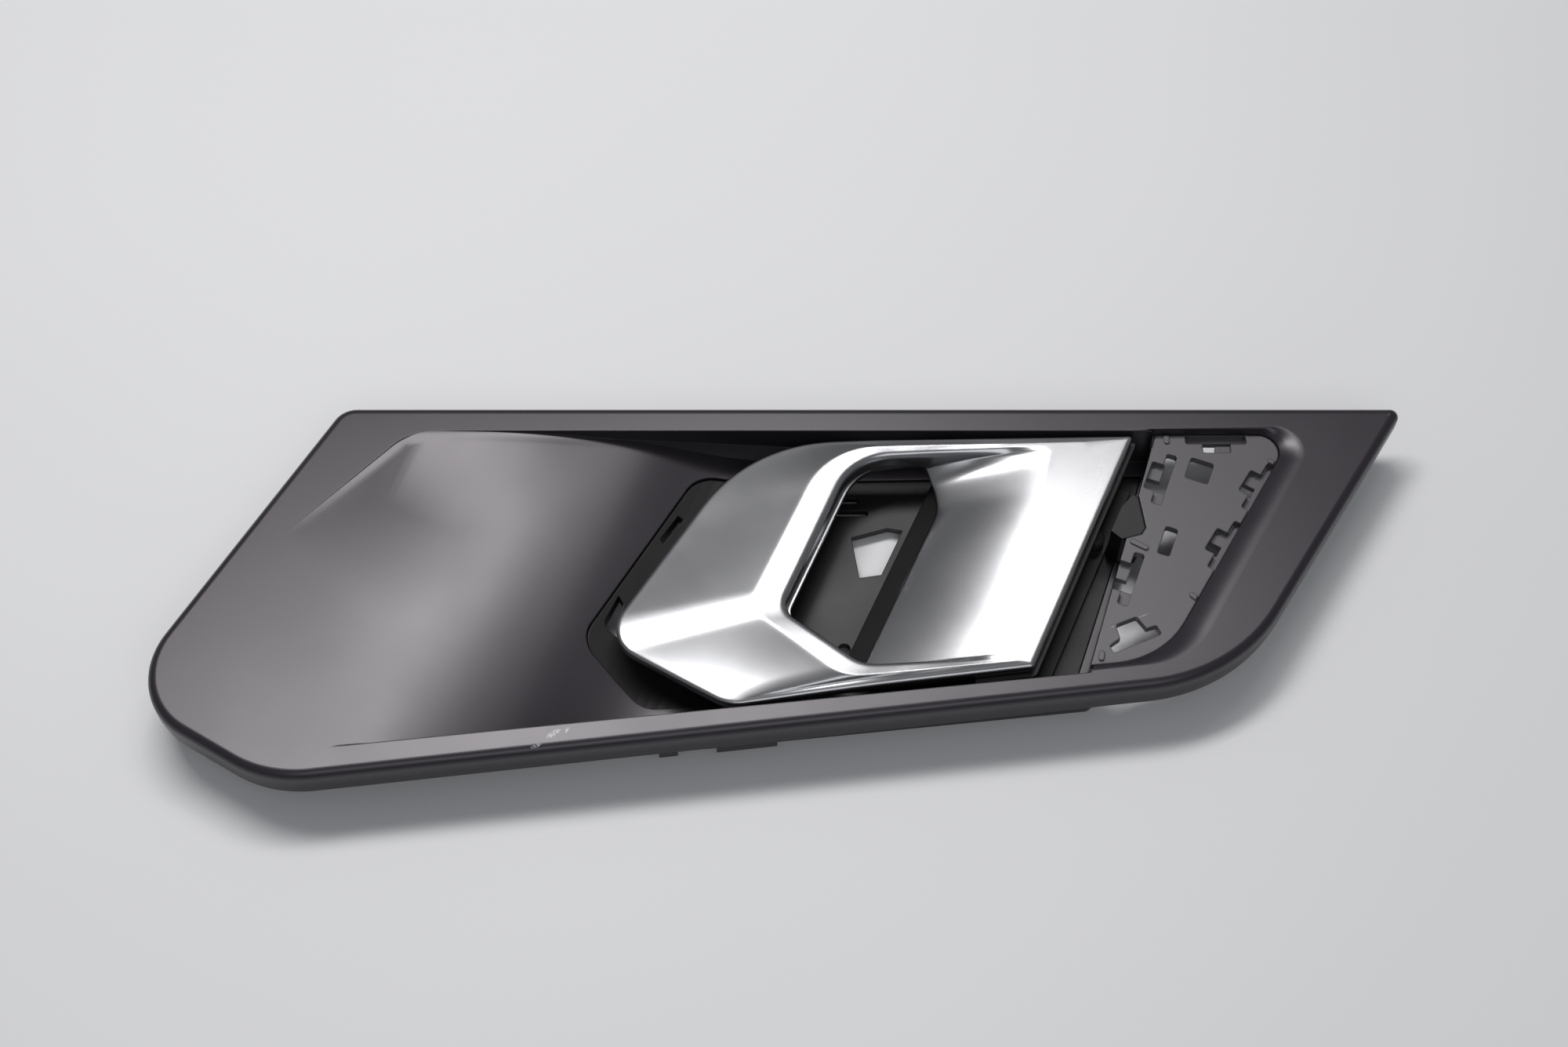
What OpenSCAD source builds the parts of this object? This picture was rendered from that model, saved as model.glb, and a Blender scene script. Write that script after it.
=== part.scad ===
// Car interior door handle: a parallelogram trim bezel with a dished finger recess,
// a sprung pull lever with a slanted finger hole, and a slotted carrier plate beside it.
// It lies on its back, face up. X runs along the length, Y across it and Z out of the face.

/* [Bezel] */
// Overall length of the bezel
bezel_l = 340; // [325:1:420]
// Overall width of the bezel
bezel_w = 115; // [112:1:140]
// Height of the face above the surface it lies on
face_z = 20; // [20:0.5:26]
// Depth of the skirt below the face
skirt_h = 9; // [6:0.5:11]
// Wall of the painted moulding
wall = 2.2; // [1.6:0.1:2.6]
// Radius of the edge between face and skirt
edge_r = 2.5; // [1:0.1:3]
// Slant of the left end, measured from Y
left_slant = 28.6; // [20:0.2:34]
// Slant of the right end, measured from Y
right_slant = 32.9; // [28:0.2:36]
// Rise of the bottom edge towards the right
bottom_slant = 6.8; // [4:0.2:8]

/* [Dish] */
// Rim above the dish
rim_top = 8.2; // [6:0.1:12]
// Rim below the dish, at the start of the bottom step
rim_bottom = 7.8; // [6:0.1:10]
// Length of the shallow run of the dish
run_l = 68; // [50:1:70]
// Depth at the end of the shallow run
run_d = 6.4; // [4:0.1:8]
// Length of the steep run of the dish
bowl_l = 38; // [30:1:44]
// Depth of the bowl under the lever
bowl_d = 15.8; // [12:0.1:15.8]
// Slant of the lines of equal depth, measured from Y
dish_slant = 20.8; // [10:0.2:28]

/* [Lever] */
// Play between the top of the lever and the dish wall
play_top = 1.3; // [1:0.1:3]
// Play between the bottom of the lever and the dish wall
play_bottom = 3.5; // [3:0.1:5]
// Depth of the scoop at its lip
scoop_d = 9.3; // [6:0.1:10]
// Thickness of the plated shell
shell_t = 1.8; // [1.4:0.1:2.2]
// Height of the shell's skirt
shell_skirt = 3.2; // [2.8:0.1:3.6]
// Height of the crest over the shell's edge line
crest_h = 2; // [1:0.1:3]

/* [Hinge] */
// Height of the hinge axis
hinge_z = 10; // [9.5:0.1:10.5]
// Distance from the lever's right edge to the hinge axis
hinge_in = 10; // [9:0.5:12]
// Pin diameter
pin_d = 4; // [3:0.1:4.4]
// Barrel diameter
barrel_d = 7.6; // [7.2:0.1:8]
// Barrel length
barrel_l = 12; // [8:0.5:14]
// Distance from the middle to each barrel's middle
barrel_s = 23; // [20:0.5:23]
// Travel of the lever
travel = 18; // [10:1:18]
// Thickness of the bracket's lugs
lug_t = 4; // [3:0.5:4.5]
// Running clearance on a diameter
run_fit = 0.1; // [0.06:0.02:0.16]
// Wire of the return spring
wire_d = 1.2; // [0.8:0.1:1.2]
// Turns of the return spring
spring_turns = 5; // [3:1:6]

/* [Carrier plate] */
// Depth of the plate's face below the bezel's face
plate_down = 2.7; // [2:0.1:3.4]
// Thickness of the carrier plate
plate_t = 2.2; // [1.6:0.1:2.4]
// Width of the clip slots
slot_w = 2.9; // [2.4:0.1:3.2]
// Length of the clip slots
slot_l = 17.2; // [14:0.2:18]

/* [Fixings] */
// Gap between fitted mouldings
fit_gap = 0.3; // [0.2:0.05:0.5]
// Bore of the bosses that take the door's screws
boss_bore = 4.2; // [3.5:0.1:4.6]
// Diameter of those bosses
boss_d = 8.4; // [8:0.2:9]
// Thread diameter of the small screws
screw_d = 2.6; // [2.2:0.1:3]
// Head diameter of the small screws
head_d = 5.2; // [4.6:0.1:5.6]

/* [Hidden] */

arc_n = 5;
edge_n = 8;
half_l = bezel_l / 2;
half_w = bezel_w / 2;
dish_top = half_w - rim_top;
under_face = face_z - wall;
skirt_z = face_z - skirt_h;

function unit(v) = v / norm(v);
function lerp(a, b, t) = a + (b - a) * t;
function clamp01(t) = min(1, max(0, t));
function ease(t) = let (c = clamp01(t)) c * c * (3 - 2 * c);

// Points of the round at corner b between its neighbours a and c
function corner(a, b, c, r, n) = let (
    u = unit(a - b), v = unit(c - b), half = acos(u * v) / 2,
    m = b + unit(u + v) * r / sin(half), s = b + u * r / tan(half),
    start = atan2(s[1] - m[1], s[0] - m[0]),
    turn = (180 - 2 * half) * sign(cross(b - a, c - b)))
    [for (k = [0:n]) m + r * [cos(start + turn * k / n), sin(start + turn * k / n)]];

// A closed loop of rounded corners, with m[i] spaces on the straight after corner i.
// On the first straight, the share near of the spaces covers the share far of the length.
function loop(c, r, m, n = arc_n, near = 0.5, far = 0.5) = let (
    q = len(c),
    arcs = [for (i = [0:q - 1]) corner(c[(i + q - 1) % q], c[i], c[(i + 1) % q], r[i], n)])
    [for (i = [0:q - 1]) each concat(arcs[i],
        [for (j = [1:1:m[i] - 1]) let (t = j / m[i])
            lerp(arcs[i][n], arcs[(i + 1) % q][0],
                i > 0 ? t : t < near ? far * t / near : far + (1 - far) * (t - near) / (1 - near))])];

// The corners of a convex loop moved inwards by e
function inset(c, e) = let (q = len(c))
    [for (i = [0:q - 1]) let (
        u = unit(c[(i + q - 1) % q] - c[i]), v = unit(c[(i + 1) % q] - c[i]))
        c[i] + unit(u + v) * e / sin(acos(u * v) / 2)];
function inset_r(r, e) = [for (x = r) max(x - e, 0.3)];

// Where the line through a with slope ta meets the line through b leaning tb from Y
function meet(a, ta, b, tb) = let (
    x = (b[0] - (b[1] - a[1] + a[0] * ta) * tb) / (1 - ta * tb)) [x, a[1] + (x - a[0]) * ta];

// Outline of the bezel: top left, left, bottom left, bottom right, tip
nose = [-half_l - 7.567, 24 - half_w];
heel = [34.5 - half_l, -half_w - 1.139];
tip = [half_l + 1.867, half_w];
bezel_c = [[nose[0] + (half_w - nose[1]) * tan(left_slant), half_w], nose, heel,
    meet(heel, tan(bottom_slant), tip, tan(right_slant)), tip];
bezel_r = [7, 22, 34, 50, 2.2];
bezel_m = [for (r = bezel_r) 1];

// Outline of the dish, which ends at the carrier plate's left edge
dish_step = heel + [15.5, 15.5 * tan(bottom_slant) + rim_bottom];
function dish_low(x) = dish_step[1] + (x - dish_step[0]) * 0.1095;
plate_left_top = [101, dish_top + 0.5];
plate_left_low = [77.2, dish_low(77.2) + 3.4];
dish_c = [[54 - half_l + 8, dish_top], [24 - half_l, 8], dish_step,
    [plate_left_low[0], dish_low(plate_left_low[0])], [plate_left_top[0], dish_top]];
dish_r = [16, 20, 0.5, 0.5, 0.5];

// Depth of the dish at u, the distance along X from its right end of run at the top wall
bowl_u = -42;
bowl_start_slope = run_d * 2.875 / run_l * bowl_l;
function run_depth(t) = run_d * (0.125 * t * t + 0.875 * pow(t, 3));
function bowl_depth(t) = let (fall = bowl_d - run_d)
    run_d + bowl_start_slope * t + (3 * fall - 2 * bowl_start_slope) * t * t
        + (bowl_start_slope - 2 * fall) * pow(t, 3);
function dish_depth(u) = u < bowl_u - run_l ? 0
    : u < bowl_u ? run_depth((u - bowl_u + run_l) / run_l)
    : u < bowl_u + bowl_l ? bowl_depth((u - bowl_u) / bowl_l)
    : bowl_d;
profile_n = 12;
dish_end = 240;
profile_u = concat([for (k = [0:profile_n - 1]) bowl_u - run_l * (1 - k / profile_n)],
    [for (k = [0:profile_n]) bowl_u + bowl_l * k / profile_n], [dish_end]);

// Finger pocket under the lever: top left, left, bottom left, bottom right, top right
pocket_c = [[-28, dish_top - 7.3], [-58.4, -12.6], [-41.4, dish_low(-41.4) + 10],
    [plate_left_low[0] - 2, dish_low(75) + 5], [plate_left_top[0] - 2, dish_top - 4.8]];
pocket_r = [10, 8, 8, 1, 1];

// Opening for the carrier plate, and the rim of the tapered surround above it
plate_right = [139.9, dish_top + 0.5];
plate_corner = meet(plate_left_low, 0.1, plate_right, tan(30.8));
opening_c = [plate_left_low, plate_corner, plate_right, plate_left_top];
opening_r = [0.5, 26, 6, 0.5];
surround_c = [[76, dish_low(76) + 0.3], meet([76, dish_low(76) + 0.3], 0.12, [148, dish_top + 1.8], tan(30.2)),
    [148, dish_top + 1.8], [99.8, dish_top + 1.8]];
surround_r = [0.5, 22, 8, 0.5];

// Lever outline: top right, top left, left tip, bottom left, bottom right
edge_low = [62.2, dish_low(62.2) + play_bottom];
edge_top = [94.8, dish_top - play_top];
lever_c = [edge_top, [-13.8, dish_top - play_top - 2], [-52, -15.2],
    [-17.7, dish_low(-17.7) + play_bottom - 1.7], edge_low];
lever_r = [1, 42, 10, 12, 1];
lever_m = [12, 6, 4, 10, 10];
// Crest line round the finger hole
crest_c = [edge_top + [-12.8, -2.5], [9, dish_top - 6.1], [-13, -9],
    [12, dish_low(12) + 5.3], edge_low + [-4.2, 1.7]];
crest_r = [2, 22, 8, 12, 2];
// Edge of the finger hole, which runs on round the scoop
hole_c = [[71.7, dish_top - 6.4], [16.5, dish_top - 9.4], [-3.6, -8.8],
    [17.5, dish_low(17.5) + 9.7], [53.5, dish_low(53.5) + 7.8]];
hole_r = [1.2, 16, 5, 10, 1.2];
// Inner edge: the foot of the hole's wall on the left and the scoop's lip on the right
lip_top = hole_c[0][1] - 0.8;
lip_low = hole_c[4][1] - 1;
function lip_x(y) = y < 28 ? 39.2 + 0.438 * (y - 28) : 39.3 - 3.6 * pow((y - 30) / 13, 2);
function rim_x(y) = lerp(hole_c[4][0], hole_c[0][0], (y - hole_c[4][1]) / (hole_c[0][1] - hole_c[4][1]));
hole_in = inset(hole_c, 1);
inner_c = [[lip_x(lip_top), lip_top], hole_in[1], hole_in[2],
    [lip_x(lip_low) - 1.5, lip_low + 0.9], [lip_x(lip_low), lip_low]];
inner_r = [0.4, 15, 4, 0.5, 0.4];
// Share of the top straight's points that lie along the scoop
scoop_share = 0.7;

// Heights of the shell: edge line, crest, hole edge, and the depth of hole wall or scoop
function edge_h(x) = face_z - 3 * ease((25 - x) / 70);
function crest_z(x) = face_z + 0.5 + crest_h * ease((30 - x) / 45);
function rim_h(x) = face_z + 0.2 + 0.5 * ease((20 - x) / 25);
function scoop_t(p) = (p[0] - lip_x(p[1])) / (rim_x(p[1]) - lip_x(p[1]));
function well_d(p) = let (t = scoop_t(p)) t >= 1 ? 0
    : t >= 0 ? scoop_d * pow(1 - t, 1.6)
    : scoop_d - (scoop_d - 4.8) * clamp01((lip_x(p[1]) - p[0]) / 9);

count = len(loop(lever_c, lever_r, lever_m));
right_from = count - lever_m[4] + 1;
function lift(p, z) = [p[0], p[1], z];
function edge_ring(e, down) = let (q = loop(inset(lever_c, e), inset_r(lever_r, e), lever_m))
    [for (p = q) lift(p, edge_h(p[0]) - down)];
function crest_ring(down) = [for (p = loop(crest_c, crest_r, lever_m)) lift(p, crest_z(p[0]) - down)];
function hole_loop(out) =
    loop(inset(hole_c, -out), [for (x = hole_r) x + out], lever_m, arc_n, scoop_share, 0.8);
function inner_loop() = let (q = loop(inner_c, inner_r, lever_m, arc_n, scoop_share, 0.06))
    [for (i = [0:count - 1]) i >= right_from ? [lip_x(q[i][1]), q[i][1]] : q[i]];
function between(a, b, t) = [for (i = [0:len(a) - 1]) lerp(a[i], b[i], t)];
function well_ring(q, down) = [for (p = q) lift(p, rim_h(p[0]) - well_d(p) - down)];

// A closed surface through rings of equal count, the last joined to the first
module ring_solid(rings) {
    n = len(rings[0]);
    k = len(rings);
    polyhedron(points = [for (r = rings) each r],
        faces = [for (j = [0:k - 1]) for (i = [0:n - 1]) let (
            a = j * n + i, b = j * n + (i + 1) % n,
            c = ((j + 1) % k) * n + (i + 1) % n, d = ((j + 1) % k) * n + i)
            each [[a, c, b], [a, d, c]]]);
}

// A closed surface through rings of equal count, with flat ends
module stack_solid(rings) {
    n = len(rings[0]);
    k = len(rings);
    polyhedron(points = [for (r = rings) each r],
        faces = concat([[for (i = [0:n - 1]) i]], [[for (i = [0:n - 1]) k * n - 1 - i]],
            [for (j = [0:k - 2]) for (i = [0:n - 1]) let (
                a = j * n + i, b = j * n + (i + 1) % n,
                c = (j + 1) * n + (i + 1) % n, d = (j + 1) * n + i)
                each [[a, c, b], [a, d, c]]]));
}

// Hinge frame: X away from the lever's tip, Y along the axis
lean = atan2(edge_top[0] - edge_low[0], edge_top[1] - edge_low[1]);
edge_mid = (edge_top + edge_low) / 2;
hinge_back = 4.7;
hinge = edge_mid - hinge_in * [cos(lean), -sin(lean)] - hinge_back * [sin(lean), cos(lean)];
module at_hinge() {
    translate([hinge[0], hinge[1], 0]) rotate([0, 0, -lean]) children();
}
module along_hinge(from, long, d) {
    translate([0, from, hinge_z]) rotate([-90, 0, 0]) cylinder(h = long, d = d, $fn = 48);
}
flange_t = 0.8;
barrel_end = barrel_s + barrel_l / 2;
lug_s = barrel_end + flange_t + 2 * fit_gap;
pin_end = lug_s + lug_t + fit_gap;
frame_t = 2.2;
frame_z = face_z - shell_skirt - fit_gap - frame_t;
floor_down = 0.7;
floor_t = 1.8;
floor_z = face_z - bowl_d - floor_down;
base_t = 2;
base_z = floor_z + base_t;
bush_d = pin_d + 1.6;
slip = 0.04;
hole_play = 0.4;
rest_at = [[-6.4, -13], [-6.4, 13]];
stop_at = [10.5, 15];
stop_z = hinge_z - 10.5 * sin(travel) + (frame_z - hinge_z) * cos(travel) - fit_gap;
cover_screw_at = [[6, -22], [6, 0], [6, 38]];
seat_at = [-24, 0];
seat_bore = 5;
clamp_t = 0.45;
// Socket under the scoop for the end of the cable
eye_z = 7.2;
eye_d = 2;
eye_l = 2.7;
eye_boss_d = 4.6;
// Posts that carry the rubber buffers and posts for the housing's screws
buffer_post_d = 5;
pad_post_d = 5.4;
plate_z = face_z - plate_down;
seam_down = 2.2;
rim_low = face_z - seam_down - wall;
plate_screw_at = [[118, dish_top + 3.4], [142, 33], [121, -2.5], [88, dish_low(88) + 1.2]];
// Bosses for the door's screws: place, height of the foot and height of the bore's end
boss_places = [[-133, 28, 0, 8], [-112, -42, 0.3, 7.6], [138, 20, 0.6, 7.2], [151, 46, 0.9, 6.8]];
housing_screw_at = [[-62, -10], [-42, 32], [-57, -23]];
// Flat pads on the housing's flange, under which its screws clamp it
pad_drop = 1.6;
function pad_z(p) = floor_at(p) - flange_down - pad_drop;
function floor_at(p) = face_z - dish_depth(p[0] + (dish_top - p[1]) * tan(dish_slant));

/* Bezel */
module outline2d(e = 0) {
    polygon(loop(inset(bezel_c, e), inset_r(bezel_r, e), bezel_m, edge_n));
}
module dish2d() {
    polygon(loop(dish_c, dish_r, [1, 1, 1, 1, 1]));
}
module pocket2d() {
    polygon(loop(pocket_c, pocket_r, [1, 1, 1, 1, 1]));
}
module opening2d() {
    polygon(loop(opening_c, opening_r, [1, 1, 1, 1], edge_n));
}

// Everything above the dish's floor, lowered by down
module above_dish(down) {
    ku = cos(dish_slant);
    translate([0, dish_top, 0]) rotate([0, 0, -dish_slant]) rotate([90, 0, 0])
        linear_extrude(420, center = true)
            polygon(concat([for (u = profile_u) [u * ku, face_z - dish_depth(u) - down]],
                [[dish_end * ku, face_z + 30], [profile_u[0] * ku, face_z + 30]]));
}

// A floor that follows the dish, between two depths below its surface
module dish_floor(from, to) {
    intersection() {
        translate([0, 0, -20]) linear_extrude(60) children();
        difference() {
            above_dish(to);
            above_dish(from);
        }
    }
}

module outer_body() {
    steps = 3;
    stack_solid(concat(
        [[for (p = loop(inset(bezel_c, 0.4), inset_r(bezel_r, 0.4), bezel_m, edge_n)) lift(p, skirt_z)]],
        [for (k = [0:steps]) let (a = 90 * k / steps, e = edge_r * (1 - cos(a)))
            [for (p = loop(inset(bezel_c, e), inset_r(bezel_r, e), bezel_m, edge_n))
                lift(p, face_z - edge_r + edge_r * sin(a))]]));
}

// Tapered surround of the carrier plate
module surround() {
    low = loop(opening_c, opening_r, [1, 1, 1, 1], edge_n);
    high = loop(surround_c, surround_r, [1, 1, 1, 1], edge_n);
    stack_solid([[for (p = low) lift(p, face_z - seam_down)], [for (p = high) lift(p, face_z + 0.01)],
        [for (p = high) lift(p, face_z + 3)]]);
}

// Towers that carry the metal clips: place and turn
clip_w = 7;
tower_t = 1.8;
tower_z = 6.5;
towers = [[-60, dish_top + 4.1, 0], [60, dish_top + 4.1, 0], [-148, -18, -62]];
module clip_tower(t) {
    translate([t[0], t[1], tower_z]) rotate([0, 0, t[2]]) {
        translate([-clip_w / 2, -tower_t / 2, 0]) cube([clip_w, tower_t, under_face + 0.3 - tower_z]);
        for (x = [-clip_w / 2 - 0.6, clip_w / 2 - 0.6])
            translate([x, -tower_t, 5]) cube([1.2, tower_t * 2, under_face + 0.3 - tower_z - 5]);
    }
}

// Painted top and skirt, hollow below
module top_shell() {
    difference() {
        outer_body();
        translate([0, 0, skirt_z - 1]) linear_extrude(under_face - skirt_z + 1) outline2d(wall);
    }
}

// Walls and floor of the dish
module dish_tub() {
    intersection() {
        difference() {
            translate([0, 0, 1]) linear_extrude(face_z - 1.5) offset(delta = wall) dish2d();
            below_dish();
        }
        translate([0, 0, -1]) linear_extrude(40) outline2d(wall / 2);
    }
}

// Seat of the carrier plate, under its surround
module plate_rim() {
    translate([0, 0, rim_low]) linear_extrude(wall + 1.5)
        intersection() {
            offset(delta = 5) opening2d();
            outline2d(wall / 2);
        }
}

// Locating tabs inside the bottom skirt: place along X, width and height of the foot
locators = [[-33.5, 5, 7], [-13, 16, 6.4]];
locator_t = 1.8;
module locator_tabs() {
    for (t = locators) translate([t[0], heel[1] + (t[0] - heel[0]) * tan(bottom_slant) + wall / 2, t[2]])
        rotate(bottom_slant) translate([-t[1] / 2, 0, 0]) cube([t[1], locator_t, under_face + 0.3 - t[2]]);
}

// Bosses for the door's screws and the housing's screws, and the clip towers
module posts() {
    for (p = boss_places) translate([p[0], p[1], p[2]])
        cylinder(h = under_face + 0.5 - p[2], d = boss_d, $fn = 48);
    for (p = housing_screw_at) translate([p[0], p[1], pad_z(p)])
        cylinder(h = flange_down + pad_drop - 1, d = pad_post_d, $fn = 48);
    for (t = towers) clip_tower(t);
    locator_tabs();
}

module dish_hollow() {
    intersection() {
        linear_extrude(40) dish2d();
        above_dish(0);
    }
}

module bores() {
    for (p = boss_places) translate([p[0], p[1], p[2] - 1])
        cylinder(h = p[3] - p[2] + 1, d = boss_bore, $fn = 48);
    for (p = housing_screw_at) translate([p[0], p[1], pad_z(p) - 1])
        cylinder(h = flange_down + pad_drop, d = screw_d + slip, $fn = 48);
    for (p = plate_screw_at) translate([p[0], p[1], rim_low - 1])
        cylinder(h = 4, d = screw_d + slip, $fn = 48);
}

module bezel() {
    color([0.27, 0.26, 0.28])
    difference() {
        union() {
            top_shell();
            dish_tub();
            plate_rim();
            posts();
        }
        dish_hollow();
        surround();
        translate([0, 0, -1]) linear_extrude(40) pocket2d();
        translate([0, 0, -1]) linear_extrude(40) opening2d();
        bores();
        linear_extrude(plate_z) cap2d(0);
    }
}

// The space under the dish's floor
module below_dish() {
    difference() {
        translate([-250, -120, -20]) cube([500, 240, 60]);
        above_dish(wall);
    }
}

/* Carrier plate */
notch = [[93.4, 30.6], [94.9, 29], [96, 19], [94.6, 16.8], [89, 15.2], [84, 20]];
// Clip slots: place, turn, side of the stem, length and width of the stem
clip_slots = [[118, 48, -90, 1, 8, 2.9], [102.3, 34.8, -20.7, -1, 9.4, 3.2], [128.4, 32.2, -32, -1, 8, 3],
    [117.1, 13.2, -32, -1, 8, 3], [90.4, 2.7, -21, -1, 9.4, 3.2]];
slot_r = 0.7;
module slot_shape(c) {
    square([slot_w, slot_l], center = true);
    translate([c[3] * (slot_w / 2 + c[5] / 2 - 0.1), 0]) square([c[5] + 0.2, c[4]], center = true);
}
// Windows that let the clips' tools in: place, turn and size
plate_windows = [[112.4, 37.6, -21, 6.6, 7.2], [101.4, 14.6, -21, 3.5, 9.2]];
drain = [[85.1, -11.5], [90.9, -9], [93.3, -12.6], [96, -11.6], [97.3, -14.3],
    [83.9, -20.1], [83, -17.8], [86, -15.6]];
module slots2d() {
    $fn = 20;
    offset(r = slot_r) offset(delta = -slot_r) {
        for (c = clip_slots) translate([c[0], c[1]]) rotate(c[2]) slot_shape(c);
        for (w = plate_windows) translate([w[0], w[1]]) rotate(w[2]) square([w[3], w[4]], center = true);
        polygon(drain);
    }
}

// Tongues under the clip slots: one across the end of the bar, one across half of the stem
tongue_t = 1.6;
tongue_share = 0.3;
tongue_lap = 1;
module tongues() {
    for (c = clip_slots) let (
        stem_x = c[3] > 0 ? slot_w / 2 - tongue_lap / 2 : -slot_w / 2 - c[5] - tongue_lap)
    translate([c[0], c[1], plate_z - plate_t - tongue_t]) rotate(c[2]) linear_extrude(tongue_t + 0.2) {
        translate([-slot_w / 2 - tongue_lap, -slot_l / 2 - tongue_lap])
            square([slot_w + 2 * tongue_lap, tongue_lap + slot_l * tongue_share]);
        translate([stem_x, 0]) square([c[5] + 1.5 * tongue_lap, c[4] / 2 + tongue_lap]);
    }
}

// Small ribs on the plate's face: place, turn, length
plate_ribs = [[104.1, 48, 90, 3], [133, 40.2, -35, 3], [93.5, 13.4, -30, 5.4], [106.9, -3, -45, 3],
    [80.6, -21, 80, 3]];
rib_w = 1.5;
rib_h = 0.5;
module ribs() {
    intersection() {
        for (r = plate_ribs) translate([r[0], r[1], plate_z - 0.1]) rotate(r[2]) linear_extrude(rib_h + 0.1) {
            square([r[3] - rib_w, rib_w], center = true);
            for (k = [-1, 1]) translate([k * (r[3] - rib_w) / 2, 0]) circle(d = rib_w, $fn = 24);
        }
        linear_extrude(face_z) offset(delta = -2 * fit_gap) opening2d();
    }
}

plate_seat = rim_low - fit_gap;
plate_flange_t = 2;
flange_out = 4.2;
flange_in = 1.8;
module plate_flange2d() {
    difference() {
        intersection() {
            offset(delta = flange_out) opening2d();
            outline2d(wall + 2 * fit_gap);
        }
        offset(delta = -flange_in) opening2d();
        offset(delta = wall + fit_gap) dish2d();
    }
}
module carrier_plate() {
    color([0.33, 0.33, 0.35])
    difference() {
        union() {
            difference() {
                union() {
                    translate([0, 0, plate_z - plate_t]) linear_extrude(plate_t)
                        offset(delta = -fit_gap) opening2d();
                    ribs();
                }
                translate([0, 0, plate_z - plate_t - 1]) linear_extrude(plate_t + 3) slots2d();
            }
            intersection() {
                tongues();
                translate([0, 0, -1]) linear_extrude(face_z) offset(delta = -fit_gap) opening2d();
            }
            translate([0, 0, plate_seat - plate_flange_t]) linear_extrude(plate_flange_t) plate_flange2d();
        }
        translate([0, 0, plate_z - plate_t - 3]) linear_extrude(plate_t + 4) polygon(notch);
        for (p = plate_screw_at) translate([p[0], p[1], plate_seat - plate_flange_t - 1])
            cylinder(h = plate_flange_t + 2, d = screw_d + hole_play, $fn = 48);
        for (p = boss_places) translate([p[0], p[1], 0]) cylinder(h = face_z, d = boss_d + 1, $fn = 48);
    }
}

/* Pocket housing */
flange_down = wall + fit_gap + 1.6;
window = [[15.6, 24.2], [25.8, 27.3], [30, 26.5], [23.7, 12.1], [17.6, 11.1]];
small_hole = [13.1, -11.4, 3.4];
// Two slots beside the window: right end, length and width
floor_slots = [[17.8, 36.4, 12, 1.8], [20.4, 32.2, 14, 1.8]];
screw_well_d = 6;
pad_d = 11;
// Black cap that rises through the plate's notch, clear of the swinging lever
cap_from_p = 14.3;
module cap2d(gap) {
    intersection() {
        offset(delta = -gap) polygon(notch);
        translate([hinge[0], hinge[1]]) rotate(-lean) translate([cap_from_p - fit_gap + gap, -half_w])
            square([bezel_w, bezel_w]);
    }
}
// Slits beside the pocket's left edge
slits = [[[-32.9, 28.9], [-31.5, 27.9], [-36.8, 19.6], [-37.7, 20.9]],
    [[-48.4, 2.1], [-47.1, -0.1], [-48.1, -10.4], [-51.4, -8], [-51.9, -6]]];
module pocket_housing() {
    color([0.2, 0.2, 0.21])
    difference() {
        union() {
            dish_floor(floor_down, floor_down + floor_t + 0.2) offset(delta = -fit_gap) pocket2d();
            dish_floor(wall + fit_gap, flange_down) difference() {
                offset(delta = 6) pocket2d();
                offset(delta = -3) pocket2d();
                translate([plate_left_low[0], plate_left_low[1]]) rotate(-18)
                    translate([0, -20]) square([20, bezel_w]);
            }
            difference() {
                for (p = housing_screw_at) translate([p[0], p[1], pad_z(p)])
                    cylinder(h = 9, d = pad_d, $fn = 48);
                above_dish(wall + fit_gap);
            }
            translate([0, 0, floor_z - floor_t])
                linear_extrude(plate_z - fit_gap - floor_z + floor_t) cap2d(fit_gap);
        }
        translate([0, 0, -5]) linear_extrude(20) {
            polygon(window);
            translate([small_hole[0], small_hole[1]]) circle(d = small_hole[2], $fn = 32);
        }
        translate([0, 0, -5]) linear_extrude(25)
            for (w = slits) polygon(w);
        for (c = floor_slots) translate([c[0] - c[3] / 2, c[1], -5]) {
            cylinder(h = 20, d = c[3], $fn = 24);
            translate([-c[2], -c[3] / 2, 0]) cube([c[2], c[3], 20]);
        }
        at_hinge() {
            for (p = bracket_screw_at) translate([p[0], p[1], -5])
                cylinder(h = 20, d = screw_d + hole_play, $fn = 48);
            translate([seat_at[0], seat_at[1], -5]) cylinder(h = 20, d = seat_bore + 4, $fn = 48);
        }
        for (p = housing_screw_at) translate([p[0], p[1], -5]) {
            cylinder(h = 25, d = screw_well_d, $fn = 48);
            cylinder(h = pad_z(p) + 5, d = pad_d, $fn = 48);
        }
    }
}

/* Lever */
module lever_cover() {
    color([0.75, 0.76, 0.78])
    difference() {
        cover_shell();
        at_hinge() for (p = cover_screw_at) translate([p[0], p[1], frame_z])
            cylinder(h = frame_t + fit_gap + 2.2, d = screw_d + slip, $fn = 48);
    }
}

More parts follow.
